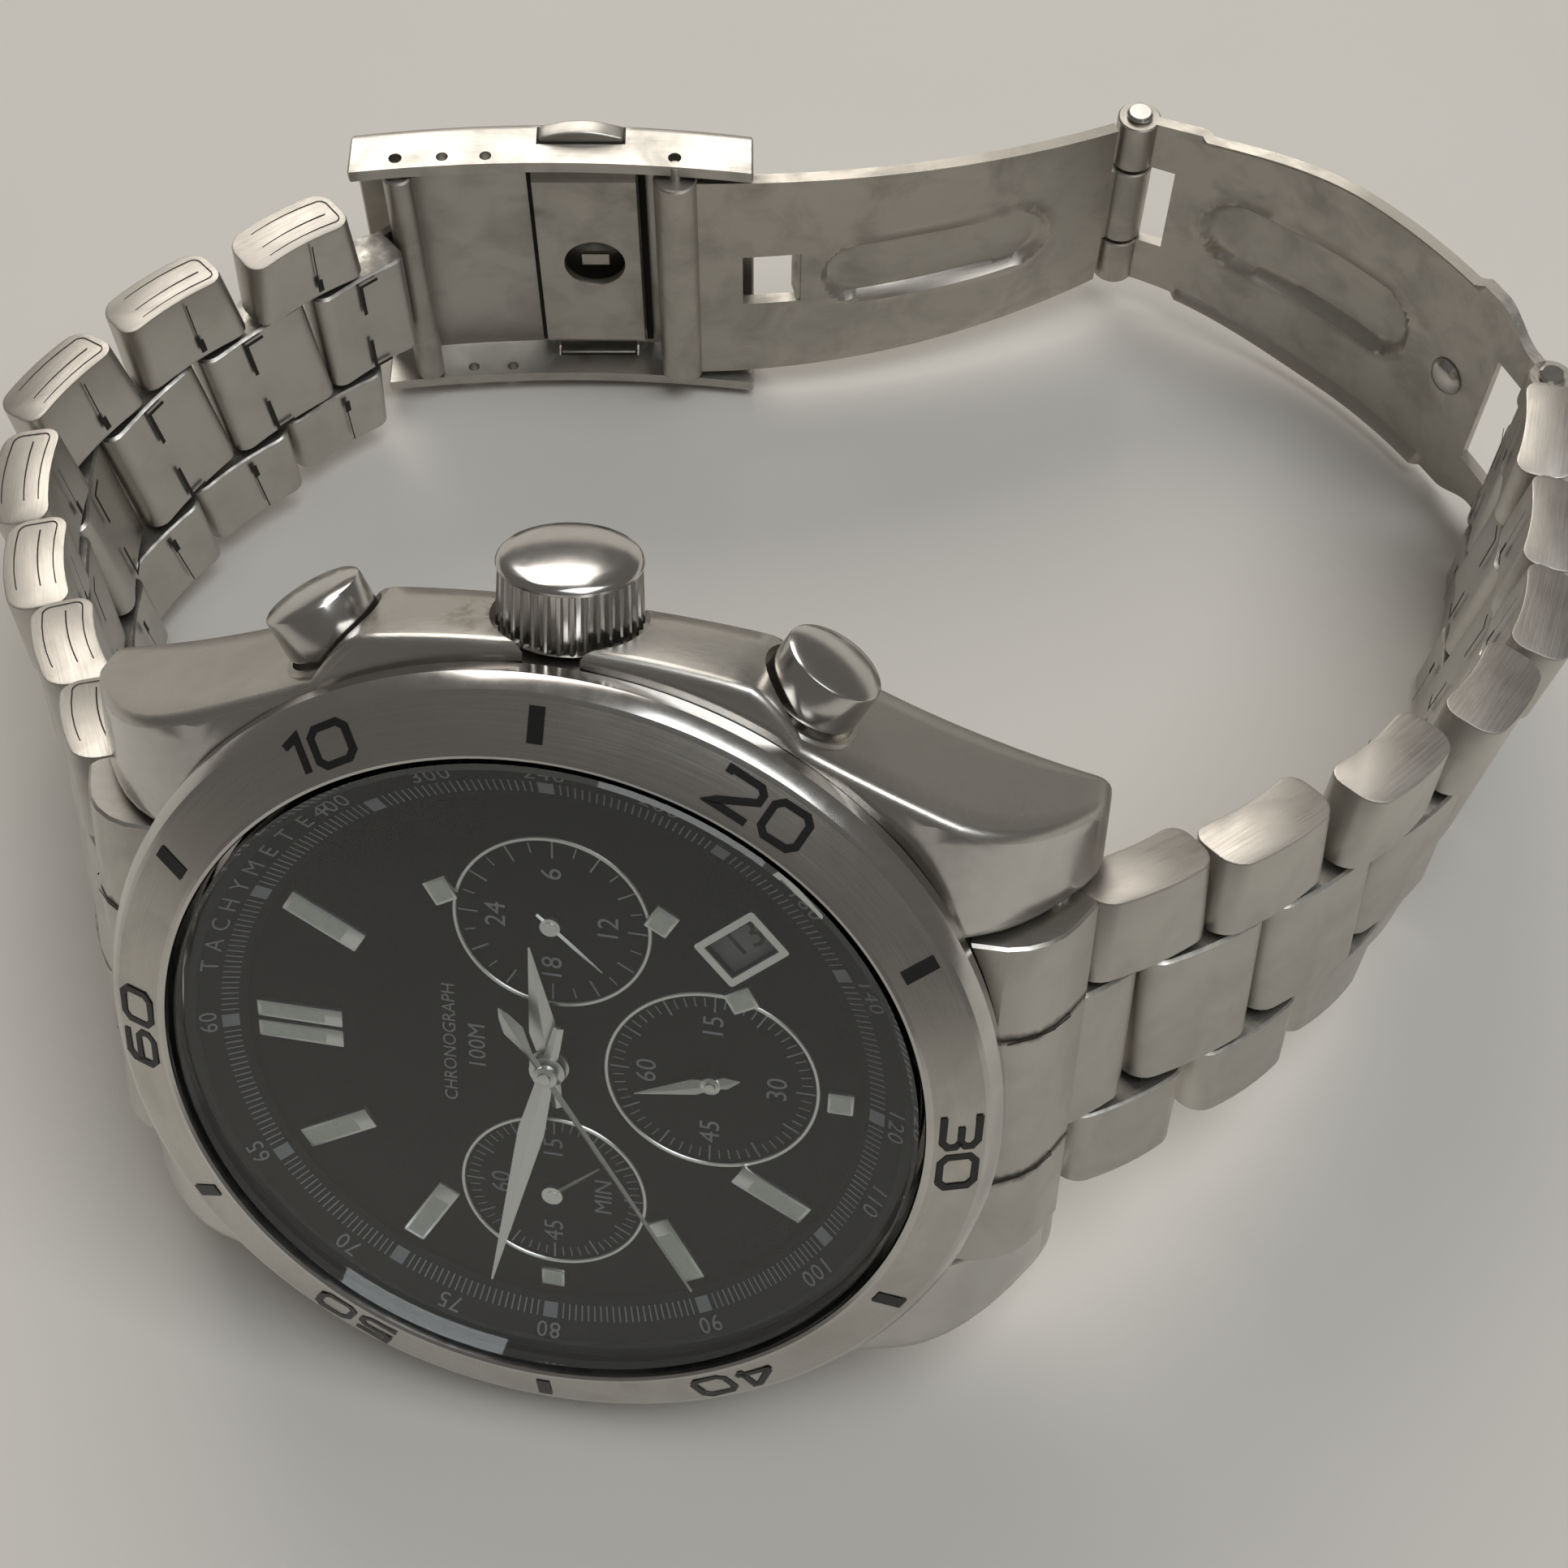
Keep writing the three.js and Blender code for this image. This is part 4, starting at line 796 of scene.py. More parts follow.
class Lettering:
    """Numbers and plain words, as flat meshes."""

    # Strokes of the wide, square numerals, in a cell 1 wide and 1 high.
    STROKES = {
        "0": [([(0.18, 0.0), (0.82, 0.0), (1.0, 0.18), (1.0, 0.82), (0.82, 1.0), (0.18, 1.0), (0.0, 0.82),
                (0.0, 0.18)], True)],
        "1": [([(0.15, 0.82), (0.55, 1.0), (0.55, 0.0)], False)],
        "2": [([(0.0, 0.85), (0.0, 1.0), (0.85, 1.0), (1.0, 0.85), (1.0, 0.62), (0.12, 0.12), (0.0, 0.0),
                (1.0, 0.0)], False)],
        "3": [([(0.0, 1.0), (0.82, 1.0), (1.0, 0.85), (1.0, 0.66), (0.85, 0.52), (0.35, 0.52)], False),
              ([(0.85, 0.52), (1.0, 0.38), (1.0, 0.16), (0.82, 0.0), (0.0, 0.0)], False)],
        "4": [([(1.0, 0.25), (0.0, 0.25), (0.0, 0.35), (0.62, 1.0), (0.78, 1.0), (0.78, 0.0)], False)],
        "5": [([(1.0, 1.0), (0.05, 1.0), (0.05, 0.6), (0.82, 0.6), (1.0, 0.45), (1.0, 0.15), (0.82, 0.0),
                (0.0, 0.0)], False)],
        "6": [([(0.95, 1.0), (0.18, 1.0), (0.0, 0.82), (0.0, 0.18), (0.18, 0.0), (0.82, 0.0), (1.0, 0.18),
                (1.0, 0.42), (0.82, 0.58), (0.02, 0.58)], False)],
    }

    @classmethod
    def numeral(cls, text: str, width: float, height: float, line: float, gap: float) -> Shape:
        """Draws square numerals centred on the origin, facing +Z, reading along +X."""
        shape = Shape()
        total = sum(width * (0.6 if c == "1" else 1.0) for c in text) + gap * (len(text) - 1)
        x = -total / 2
        for c in text:
            w = width * (0.6 if c == "1" else 1.0)
            for path, closed in cls.STROKES[c]:
                pts = [(x + (w if c != "1" else width) * px, (py - 0.5) * height) for px, py in path]
                shape.join(stroke(pts, line, 0.0, closed))
            x += w + gap
        return shape

    @staticmethod
    def words(bench: Workbench, text: str, size: float, spacing: float = 1.0) -> Shape:
        """Sets a word in the built-in typeface, centred on the origin, facing +Z.

        Args:
            bench: The workbench.
            text: The word or number.
            size: The height of the type in millimetres.
            spacing: The spacing between letters.

        Returns:
            The flat lettering.
        """
        curve = bpy.data.curves.new("type", "FONT")
        curve.body = text
        curve.size = size
        curve.space_character = spacing
        curve.align_x = "CENTER"
        curve.align_y = "CENTER"
        curve.resolution_u = 3
        obj = bpy.data.objects.new("type", curve)
        bpy.context.scene.collection.objects.link(obj)
        shape = Workbench.as_shape(bench.evaluated(obj))
        bpy.data.curves.remove(curve)
        return shape


def clock(r: float, degrees: float) -> Flat:
    """Returns the point at a radius and at degrees clockwise from twelve, in head axes."""
    a = math.radians(degrees)
    return -r * math.cos(a), r * math.sin(a)


def radial_at(r: float, degrees: float, z: float) -> Matrix:
    """Sets lettering at a place on the dial with its top away from the centre."""
    x, y = clock(r, degrees)
    return shift(x, y, z) @ turn_z(math.pi / 2 - math.radians(degrees))


# ---- The head ------------------------------------------------------------------------


@dataclass
class Case:
    """The case middle, the bezel, the crystal and the case back."""

    bench: Workbench
    finish: Finishes
    repeat: RadialRepeat
    where: Matrix
    band_r: float = 21.7
    top: float = -2.6
    bottom: float = -10.9
    lug_x: float = 25.2
    lug_in: float = 10.1
    lug_out: float = 14.2
    lug_tip_z: float = -12.0
    bore_r: float = 18.4

    def outline(self) -> list[Flat]:
        """Returns the case seen from the front, counter-clockwise."""
        def curve(a: Flat, b: Flat, c: Flat, steps: int) -> list[Flat]:
            """Returns points on a quadratic curve, without its first point."""
            ways = [i / steps for i in range(1, steps + 1)]
            return [tuple((1 - t) ** 2 * p + 2 * t * (1 - t) * q + t * t * r for p, q, r in zip(a, b, c))
                    for t in ways]

        guard = self.band_r + 1.1
        tip, r = self.lug_x, 0.7
        corner = math.asin(self.lug_in / self.band_r)
        nook = self.band_r * math.cos(corner)
        right = arc(self.band_r, 0.0, corner, 10)
        right += [(nook + (tip - r - nook) * i / 6, self.lug_in) for i in range(1, 7)]
        right += curve((tip - r, self.lug_in), (tip, self.lug_in), (tip, self.lug_in + r), 4)
        right += [(tip, self.lug_out - r)]
        right += curve((tip, self.lug_out - r), (tip, self.lug_out), (tip - r, self.lug_out + 0.25), 4)
        right += curve((tip - r, self.lug_out + 0.25), (17.6, 16.5), (11.4, 19.3), 14)
        top = curve((11.4, 19.3), (10.2, 21.4), (9.0, guard - 0.75), 6)
        top += curve((9.0, guard - 0.75), (5.0, guard + 0.05), (0.0, guard + 0.12), 8)
        low = curve((0.0, self.band_r), (6.0, self.band_r), (11.2, 18.7), 10)
        low += curve((11.2, 18.7), (17.5, 16.4), (tip - r, self.lug_out + 0.25), 14)
        low += curve((tip - r, self.lug_out + 0.25), (tip, self.lug_out), (tip, self.lug_out - r), 4)
        low += [(tip, self.lug_in + r)]
        low += curve((tip, self.lug_in + r), (tip, self.lug_in), (tip - r, self.lug_in), 4)
        low += [(tip - r - (tip - r - nook) * i / 6, self.lug_in) for i in range(1, 7)]
        low += arc(self.band_r, corner, 0.0, 10)[1:-1]
        upper = right + top
        left = [(-x, y) for x, y in reversed(upper[:-1])]
        under_left = [(-x, -y) for x, y in reversed(low)]
        under_right = [(x, -y) for x, y in low]
        return upper + left + under_left + [(0.0, -self.band_r)] + under_right

    def top_height(self, x: float) -> float:
        """Returns the height of the dial side at x: flat, then down over the lugs."""
        t = max(0.0, (abs(x) - 18.0) / (self.lug_x - 18.0))
        return self.top - 7.2 * t ** 2.1

    def bottom_height(self, x: float) -> float:
        """Returns the height of the back side at x: flat, then down to the lug tips."""
        t = max(0.0, (abs(x) - 14.0) / (self.lug_x - 14.0))
        return self.bottom + (self.lug_tip_z - self.bottom) * t ** 1.7

    def wall(self, outline: Sequence[Flat]) -> list[list[Point]]:
        """Returns the rings of the side wall, from the dial side to the back."""
        n = len(outline)
        inward: list[Vector] = []
        for i in range(n):
            a, b = Vector(outline[i - 1]), Vector(outline[(i + 1) % n])
            along = (b - a).normalized()
            inward.append(Vector((-along.y, along.x)))
        levels = [(0.45, 0.0), (0.2, 0.08), (0.05, 0.22), (0.0, 0.5)]
        rings: list[list[Point]] = []
        for inset, drop in levels:
            rings.append(self._ring(outline, inward, inset, lambda x, d=drop: self.top_height(x) - d))
        for share in (0.2, 0.45, 0.65, 0.85):
            rings.append(self._ring(
                outline, inward, 0.0,
                lambda x, s=share: (self.top_height(x) - 0.5) * (1 - s) + (self.bottom_height(x) + 0.35) * s,
                taper=share))
        for inset, rise in [(0.0, 0.35), (0.1, 0.12), (0.35, 0.0)]:
            rings.append(self._ring(
                outline, inward, inset, lambda x, d=rise: self.bottom_height(x) + d, taper=1.0))
        return rings

    def _ring(self, outline: Sequence[Flat], inward: Sequence[Vector], inset: float,
              height: Callable[[float], float], taper: float = 0.0) -> list[Point]:
        """Returns the outline set in by inset and drawn in towards the back."""
        points: list[Point] = []
        for (x, y), side in zip(outline, inward):
            px, py = x + side.x * inset, y + side.y * inset
            pull = smoothstep(taper, 0.4, 1.0)
            limit = (self.band_r + 1.3) * (1 - pull) + 19.8 * pull
            if abs(py) > limit - 1.0:
                over = abs(py) - (limit - 1.0)
                py = math.copysign(limit - 1.0 + over * (1 - pull) + pull * min(over, 1.0) * 0.9, py)
            points.append((px, py, height(px)))
        return points

    def middle(self) -> None:
        """Builds the case middle: wall, dial side, back side and bore."""
        outline = self.outline()
        rings = self.wall(outline)
        n = len(outline)
        shape = Shape()
        points = [p for ring in rings for p in ring]
        faces = [
            (a * n + i, (a + 1) * n + i, (a + 1) * n + (i + 1) % n, a * n + (i + 1) % n)
            for a in range(len(rings) - 1)
            for i in range(n)
        ]
        shape.add(points, faces, 0)
        sides = 96
        circle = arc(self.bore_r, 0, TAU, sides)[:-1]
        for ring, height, finish in ((rings[0], self.top_height, 1), (rings[-1], self.bottom_height, 0)):
            self._cap(shape, ring, circle, height, finish)
        shape.add(
            [(x, y, z) for z in (self.top, self.bottom) for x, y in circle],
            [(i, (i + 1) % sides, sides + (i + 1) % sides, sides + i) for i in range(sides)],
        )
        mesh = self.bench.mesh(shape, weld=2e-3)
        holes = rod(3.65, 21.9, 27.0, 48).join(rod(0.9, 17.0, 23.0, 16)).moved(shift(0, 0, STEM_Z))
        for side in (-1, 1):
            turn = turn_z(-math.radians(PUSHER_TURN * side))
            holes.join(rod(2.75, 21.6, 27.0, 40).moved(turn @ shift(0, 0, STEM_Z)))
        mesh = self.bench.cut(mesh, holes)
        self.bench.place("case_body", mesh, self.where, [self.finish.case, self.finish.polished], "head",
                         "case_steel", ["case_middle"], smooth=38)

    def _cap(self, shape: Shape, ring: Sequence[Point], circle: Sequence[Flat],
             height: Callable[[float], float], finish: int) -> None:
        """Fills between the wall and the bore with a curved face."""
        n, m = len(ring), len(circle)
        flat = [Vector((p[0], p[1])) for p in ring] + [Vector(c) for c in circle]
        extra = [
            Vector((x * 0.8 * s, y * 0.9 * t))
            for x in range(21, 32)
            for y in range(12, 22)
            for s in (-1, 1)
            for t in (-1, 1)
        ]
        edges = [(i, (i + 1) % n) for i in range(n)] + [(n + i, n + (i + 1) % m) for i in range(m)]
        out, _, tris, *_ = delaunay_2d_cdt(flat + extra, edges, [], 0, 1e-5)
        heights = {(round(p[0], 4), round(p[1], 4)): p[2] for p in ring}
        keep = []
        loop = [Vector((p[0], p[1])) for p in ring]
        for tri in tris:
            c = sum((out[i] for i in tri), Vector((0, 0))) / 3
            if c.length > self.bore_r - 0.02 and self._inside(c, loop):
                keep.append(tuple(tri))
        points = [(v.x, v.y, heights.get((round(v.x, 4), round(v.y, 4)), height(v.x))) for v in out]
        shape.add(points, keep, finish)

    @staticmethod
    def _inside(p: Vector, loop: Sequence[Vector]) -> bool:
        """Says whether a point lies inside a closed loop."""
        found = False
        for i, a in enumerate(loop):
            b = loop[i - 1]
            if (a.y > p.y) != (b.y > p.y) and p.x < (b.x - a.x) * (p.y - a.y) / (b.y - a.y) + a.x:
                found = not found
        return found

    def bezel(self) -> None:
        """Builds the sloped bezel with its black numerals and bars."""
        profile = [(18.7, -2.2), (19.2, -2.3), (21.9, -2.3), (22.2, -2.15), (22.2, -1.35), (22.05, -1.0),
                   (21.72, -0.55), (21.5, -0.42), (19.15, 0.52), (18.95, 0.58), (18.78, 0.5), (18.7, 0.3)]
        ring = lathe(profile, 192, 1)
        for i, face in enumerate(ring.faces):
            radii = [math.hypot(*ring.points[k][:2]) for k in face]
            if min(radii) > 19.1 and max(radii) < 21.6 and ring.points[face[0]][2] > -1.5:
                ring.finishes[i] = 0
        marks = Shape()
        tilt = Matrix.Rotation(-math.atan2(0.94, 2.35), 4, "X")
        rise = 0.04
        for k in range(1, 7):
            angle = k * 60.0
            number = Lettering.numeral(f"{k * 10}", 1.85, 1.75, 0.36, 0.62)
            lift = shift(*clock(20.35, angle), 0.035 + rise) @ turn_z(math.pi / 2 - math.radians(angle))
            marks.join(number.moved(lift @ tilt))
        bar = block(-0.85, 0.85, -0.36, 0.36, 0.0, 0.02)
        slope = Matrix.Rotation(math.atan2(0.94, 2.35), 4, "Y")
        bars = self.repeat.repeat(self.bench, bar.moved(slope), 6, 20.45, math.radians(30))
        marks.join(bars.moved(shift(0, 0, rise)))
        mesh = self.bench.mesh(ring.join(marks, None, 2))
        self.bench.place("bezel_ring", mesh, self.where,
                         [self.finish.bezel, self.finish.polished, self.finish.black], "head", "bezel_steel",
                         ["bezel"], smooth=20)

    def crystal(self) -> None:
        """Builds the flat crystal with a small polished chamfer."""
        profile = [(0.0, -0.9), (18.4, -0.9), (18.4, 0.3), (18.2, 0.5), (0.0, 0.5)]
        mesh = self.bench.mesh(lathe(profile, 128, closed=False))
        self.bench.place("crystal_disc", mesh, self.where, [self.finish.glass], "head", "crystal", ["crystal"])

    def back(self) -> None:
        """Builds the case back with a stepped rim and six key notches."""
        profile = [(0.0, -12.2), (15.2, -12.2), (15.4, -12.05), (15.8, -12.05), (16.0, -12.2), (19.0, -12.2),
                   (19.6, -11.7), (19.6, -11.2), (18.1, -11.2), (18.1, -10.9), (0.0, -10.9)]
        mesh = self.bench.mesh(lathe(profile, 128, closed=False))
        notch = prism(rounded_box(-0.9, 0.9, -1.3, 1.3, 0.4), -13.0, -11.75)
        mesh = self.bench.cut(mesh, self.repeat.repeat(self.bench, notch, 6, 17.6))
        self.bench.place("case_back_plate", mesh, self.where, [self.finish.polished], "head", "polished_steel",
                         ["case_back"])

    def build(self) -> None:
        """Builds every piece of the case."""
        self.middle()
        self.bezel()
        self.crystal()
        self.back()


@dataclass
class Face:
    """The dial, its printing and markers, and the sloped scale round it."""

    bench: Workbench
    finish: Finishes
    repeat: RadialRepeat
    where: Matrix
    top: float = -2.9
    radius: float = 17.7
    counters: tuple[tuple[float, float, float, int, int], ...] = (
        # radius from the centre, angle, ring radius, small marks, marks to a long one
        (8.1, 90.0, 4.75, 24, 2),
        (7.95, 180.0, 5.25, 60, 5),
        (8.7, 270.0, 4.75, 60, 5),
    )

    def scale_ring(self) -> None:
        """Builds the sloped ring with its ticks and speed scale."""
        profile = [(15.45, -2.6), (18.05, -2.6), (18.05, -1.6), (17.9, -1.42), (17.7, -1.42), (15.6, -2.36),
                   (15.45, -2.45)]
        ring = lathe(profile, 144, 0)
        slope = math.atan2(0.94, 2.1)
        up = Matrix.Rotation(-slope, 4, "Y")
        tick = block(-0.42, 0.42, -0.035, 0.035, 0.0, 0.012).moved(up)
        ticks = self.repeat.repeat(self.bench, tick, 300, 16.2)
        square = block(-0.42, 0.42, -0.33, 0.33, 0.0, 0.014).moved(up)
        squares = self.repeat.repeat(self.bench, square, 12, 16.2)
        ring.join(ticks.moved(shift(0, 0, -2.07)), None, 1).join(squares.moved(shift(0, 0, -2.065)), None, 1)
        marks = Shape()
        tilt = Matrix.Rotation(slope, 4, "X")
        for speed in (60, 65, 70, 75, 80, 90, 100, 110, 120, 140, 160, 200, 240, 300, 400):
            angle = (360.0 * 60 / speed) % 360
            word = Lettering.words(self.bench, str(speed), 1.25, 1.1)
            marks.join(word.moved(radial_at(17.15, angle, -1.62) @ tilt))
        for i, letter in enumerate("TACHYMETER"):
            angle = 12.0 + 4.55 * i
            word = Lettering.words(self.bench, letter, 1.25)
            marks.join(word.moved(radial_at(17.15, angle, -1.62) @ tilt))
        mesh = self.bench.mesh(ring.join(marks, None, 1), weld=1e-5)
        self.bench.place("scale_ring", mesh, self.where, [self.finish.ring, self.finish.ink], "head", "black_ring",
                         ["tachymeter_ring"])

    def plate(self) -> None:
        """Builds the dial plate with sunk counters and the date window."""
        z = self.top
        mesh = self.bench.mesh(disc(self.radius, z - 0.4, z, 128))
        holes = Shape().join(disc(1.0, -4, -2, 24))
        for r, angle, size, *_ in self.counters:
            sink = disc(size, z - COUNTER_DEPTH, z + 1, 96)
            hole = disc(0.6, z - 2, z + 0.5, 16)
            x, y = clock(r, angle)
            holes.join(sink.moved(shift(x, y)))
            mesh = self.bench.cut(mesh, hole.moved(shift(x, y)))
        dx, dy = DATE_HALF
        window = block(-dx, dx, -dy, dy, z - 1, z + 1)
        x, y = clock(*DATE_AT)
        holes.join(window.moved(shift(x, y) @ turn_z(-math.radians(DATE_AT[1]))))
        mesh = self.bench.cut(mesh, holes)
        self.bench.place("dial_plate", mesh, self.where, [self.finish.dial], "head", "black_dial", ["dial"])

    def counter_marks(self) -> None:
        """Builds each counter's ring, ticks and numbers."""
        silver, ink = Shape(), Shape()
        numbers = (
            [("6", 90), ("12", 180), ("18", 270), ("24", 0)],
            [("15", 90), ("30", 180), ("45", 270), ("60", 0)],
            [("15", 90), ("45", 270), ("60", 0)],
        )
        for (r, angle, size, count, long_every), labels in zip(self.counters, numbers):
            x, y = clock(r, angle)
            at = shift(x, y)
            rim = lathe([(size - 0.1, 0.0), (size + 0.12, 0.0), (size + 0.08, 0.06), (size - 0.06, 0.06)], 96)
            silver.join(rim.moved(at @ shift(0, 0, self.top)))
            floor = self.top - COUNTER_DEPTH
            tick = block(-0.28, 0.28, -0.03, 0.03, 0, 0.012)
            ink.join(self.repeat.repeat(self.bench, tick, count, size - 0.55).moved(at @ shift(0, 0, floor)))
            long = block(-0.48, 0.48, -0.045, 0.045, 0, 0.014)
            each = self.repeat.repeat(self.bench, long, count // long_every, size - 0.62)
            ink.join(each.moved(at @ shift(0, 0, floor)))
            for text, turn in labels:
                dx, dy = clock(size - 2.0, turn)
                word = Lettering.words(self.bench, text, 1.45)
                ink.join(word.moved(shift(x + dx, y + dy, floor + 0.014) @ turn_z(math.pi / 2)))
        x, y = clock(8.7, 270)
        word = Lettering.words(self.bench, "MIN", 1.3)
        ink.join(word.moved(shift(x + 2.6, y, self.top - 0.105) @ turn_z(math.pi / 2)))
        for text, size, where in (("CHRONOGRAPH", 0.95, 4.6), ("100M", 1.25, 3.2)):
            word = Lettering.words(self.bench, text, size)
            ink.join(word.moved(shift(-where - 0.6, 0.0, self.top + 0.012) @ turn_z(math.pi / 2)))
        mesh = self.bench.mesh(silver.join(ink, None, 1), weld=1e-5)
        self.bench.place("dial_printing", mesh, self.where, [self.finish.hand, self.finish.ink], "head",
                         "black_dial")

    def markers(self) -> None:
        """Builds the applied hour bars, each a bright frame round pale paint."""
        frames, paint, rim = Shape(), Shape(), 0.16
        bars = {0: (10.6, 15.0), 30: (10.9, 15.0), 210: (10.9, 15.0), 240: (10.9, 15.0), 300: (10.9, 15.0),
                330: (10.9, 15.0), 60: (10.0, 11.4), 120: (10.0, 11.4), 150: (10.0, 11.4), 180: (13.7, 15.0),
                270: (13.9, 15.0)}
        for angle, (r0, r1) in bars.items():
            turn = turn_z(math.pi - math.radians(angle))
            offsets, half = ((-0.62, 0.62), 0.5) if angle == 0 else ((0.0,), 0.62)
            near, far = (0.9, 0.22) if r1 - r0 > 2 else (rim, rim)
            for off in offsets:
                bar = block(r0, r1, off - half, off + half, self.top + 0.01, self.top + 0.32)
                frames.join(bar.moved(turn))
                inner = block(r0 + near, r1 - far, off - half + rim, off + half - rim, self.top + 0.3,
                              self.top + 0.335)
                paint.join(inner.moved(turn))
        mesh = self.bench.bevel(self.bench.mesh(frames), 0.07)
        both = Workbench.as_shape(mesh).join(paint, None, 1)
        x, y = clock(*DATE_AT)
        at = shift(x, y) @ turn_z(-math.radians(DATE_AT[1]))
        (dx, dy), grow = DATE_HALF, 0.38
        outer = rounded_box(-dx - grow, dx + grow, -dy - grow, dy + grow, 0.15, 2)
        inner = rounded_box(-dx, dx, -dy, dy, 0.05, 2)
        n = len(outer)
        points = [(px, py, self.top + z) for z in (0.0, 0.14) for loop in (outer, inner) for px, py in loop]
        faces = []
        for i in range(n):
            j = (i + 1) % n
            faces += [(2 * n + i, 2 * n + j, 3 * n + j, 3 * n + i), (i, j, 2 * n + j, 2 * n + i),
                      (3 * n + i, 3 * n + j, n + j, n + i), (n + i, n + j, j, i)]
        both.join(Shape().add(points, faces).moved(at))
        mesh = self.bench.mesh(both)
        self.bench.place("hour_markers", mesh, self.where, [self.finish.hand, self.finish.lume], "head",
                         "black_dial")

    def date(self) -> None:
        """Builds the date ring with its numbers, the thirteenth in the window."""
        ring = lathe([(9.9, -3.95), (14.0, -3.95), (14.0, -3.65), (9.9, -3.65)], 96)
        ink = Shape()
        for day in range(1, 32):
            angle = DATE_AT[1] + (day - DAY_SHOWN) * 360 / 31
            word = Lettering.words(self.bench, str(day), 2.2, 0.95)
            x, y = clock(DATE_AT[0], angle)
            turn = math.pi - math.radians(angle)
            ink.join(word.moved(shift(x, y, -3.635) @ turn_z(turn)))
        mesh = self.bench.mesh(ring.join(ink, None, 1), weld=1e-5)
        self.bench.place("date_disc", mesh, self.where, [self.finish.date, self.finish.black], "date_ring",
                         "date_print", ["date_ring"])

    def build(self) -> None:
        """Builds every piece of the face."""
        self.scale_ring()
        self.plate()
        self.counter_marks()
        self.markers()
        self.date()


@dataclass(frozen=True)
class HandSize:
    """One hand: where it turns, where it points, and its outline."""

    body: str
    on: Flat
    angle: float
    length: float
    width: float
    tail: float
    z: float
    hub: float
    style: str = "ridged"


@dataclass
class Hands:
    """The six hands."""

    bench: Workbench
    finish: Finishes
    where: Matrix
    sizes: tuple[HandSize, ...] = (
        HandSize("hour_hand", (0, 0), 82, 7.0, 1.5, 2.6, -2.35, 1.0),
        HandSize("minute_hand", (0, 0), 282, 14.8, 1.35, 2.8, -1.9, 0.9),
        HandSize("chrono_seconds_hand", (0, 0), 239, 14.7, 0.36, 4.4, -1.45, 0.62, "needle"),
        HandSize("day_hours_hand", (8.1, 90), 222, 3.4, 0.22, 0.9, -2.66, 0.5, "ring"),
        HandSize("small_seconds_hand", (7.95, 180), 342, 4.0, 0.95, 1.5, -2.66, 0.5, "leaf"),
        HandSize("chrono_minutes_hand", (8.7, 270), 138, 3.3, 0.22, 0.5, -2.66, 0.55, "ring"),
    )

    @staticmethod
    def ridged(points: Sequence[Flat], z: float, height: float) -> Shape:
        """Makes a blade with a ridge along X between a flat underside and the outline."""
        n = len(points)
        edge = [(x, y, z + height * 0.35) for x, y in points]
        other = [(x, -y, z + height * 0.35) for x, y in points]
        ridge = [(x, 0.0, z + (height if abs(y) > 0.05 else height * 0.4)) for x, y in points]
        under = [(x, 0.0, z) for x, _ in points]
        faces = []
        for i in range(n - 1):
            faces += [(i, i + 1, 2 * n + i + 1, 2 * n + i), (2 * n + i, 2 * n + i + 1, n + i + 1, n + i),
                      (i + 1, i, 3 * n + i, 3 * n + i + 1), (3 * n + i + 1, 3 * n + i, n + i, n + i + 1)]
        for i in (0, n - 1):
            faces += [(i, 2 * n + i, 3 * n + i), (2 * n + i, n + i, 3 * n + i)]
        return Shape().add(edge + other + ridge + under, faces)

    def hub(self, size: HandSize) -> Shape:
        """Returns the hand's hub: a stepped boss, or a ring with an open middle."""
        z, r = size.z, size.hub
        if size.style == "ring":
            return lathe([(r * 0.5, z), (r, z), (r, z + 0.16), (r * 0.5, z + 0.16)], 24)
        return lathe([(0, z - 0.05), (r, z - 0.05), (r, z + 0.18), (r * 0.55, z + 0.24), (r * 0.5, z + 0.34),
                      (0, z + 0.36)], 28, closed=False)

    def blade(self, size: HandSize) -> Shape:
        """Returns the hand's blade in its own style."""
        w, length, tail = size.width / 2, size.length, size.tail
        if size.style == "needle":
            pts = [(-tail, 0.03), (-tail + 0.5, 0.3), (-tail + 1.4, 0.55), (-tail + 2.4, 0.3), (-1.5, w), (0, w),
                   (length * 0.5, w * 0.85), (length, w * 0.4)]
        elif size.style == "ring":
            pts = [(-tail, 0.08), (-size.hub, 0.1), (size.hub * 0.7, w), (length * 0.5, w), (length, 0.05)]
            if size.body == "chrono_minutes_hand":
                pts = pts[2:]
        elif size.style == "leaf":
            pts = [(-tail, 0.03), (-tail * 0.5, w * 0.75), (-0.2, w * 0.55), (length * 0.22, w), (length, 0.03)]
        else:
            pts = [(-tail, 0.25), (-tail * 0.55, 0.5 * w), (0, w * 0.55), (length * 0.28, w), (length, 0.05)]
        return self.ridged(pts, size.z, 0.18)

    def build(self) -> None:
        """Builds each hand on its own body."""
        for size in self.sizes:
            x, y = clock(*size.on)
            turn = shift(x, y) @ turn_z(math.pi - math.radians(size.angle))
            shape = self.blade(size).join(self.hub(size))
            if size.on != (0, 0):
                pin = disc(0.3, -5.0, size.z + 0.2, 12)
                shape.join(pin)
            mesh = self.bench.mesh(shape.moved(turn), weld=1e-5)
            self.bench.place(size.body.replace("_hand", "_pointer"), mesh, self.where, [self.finish.hand], size.body,
                             "hand_steel", [size.body], smooth=15)


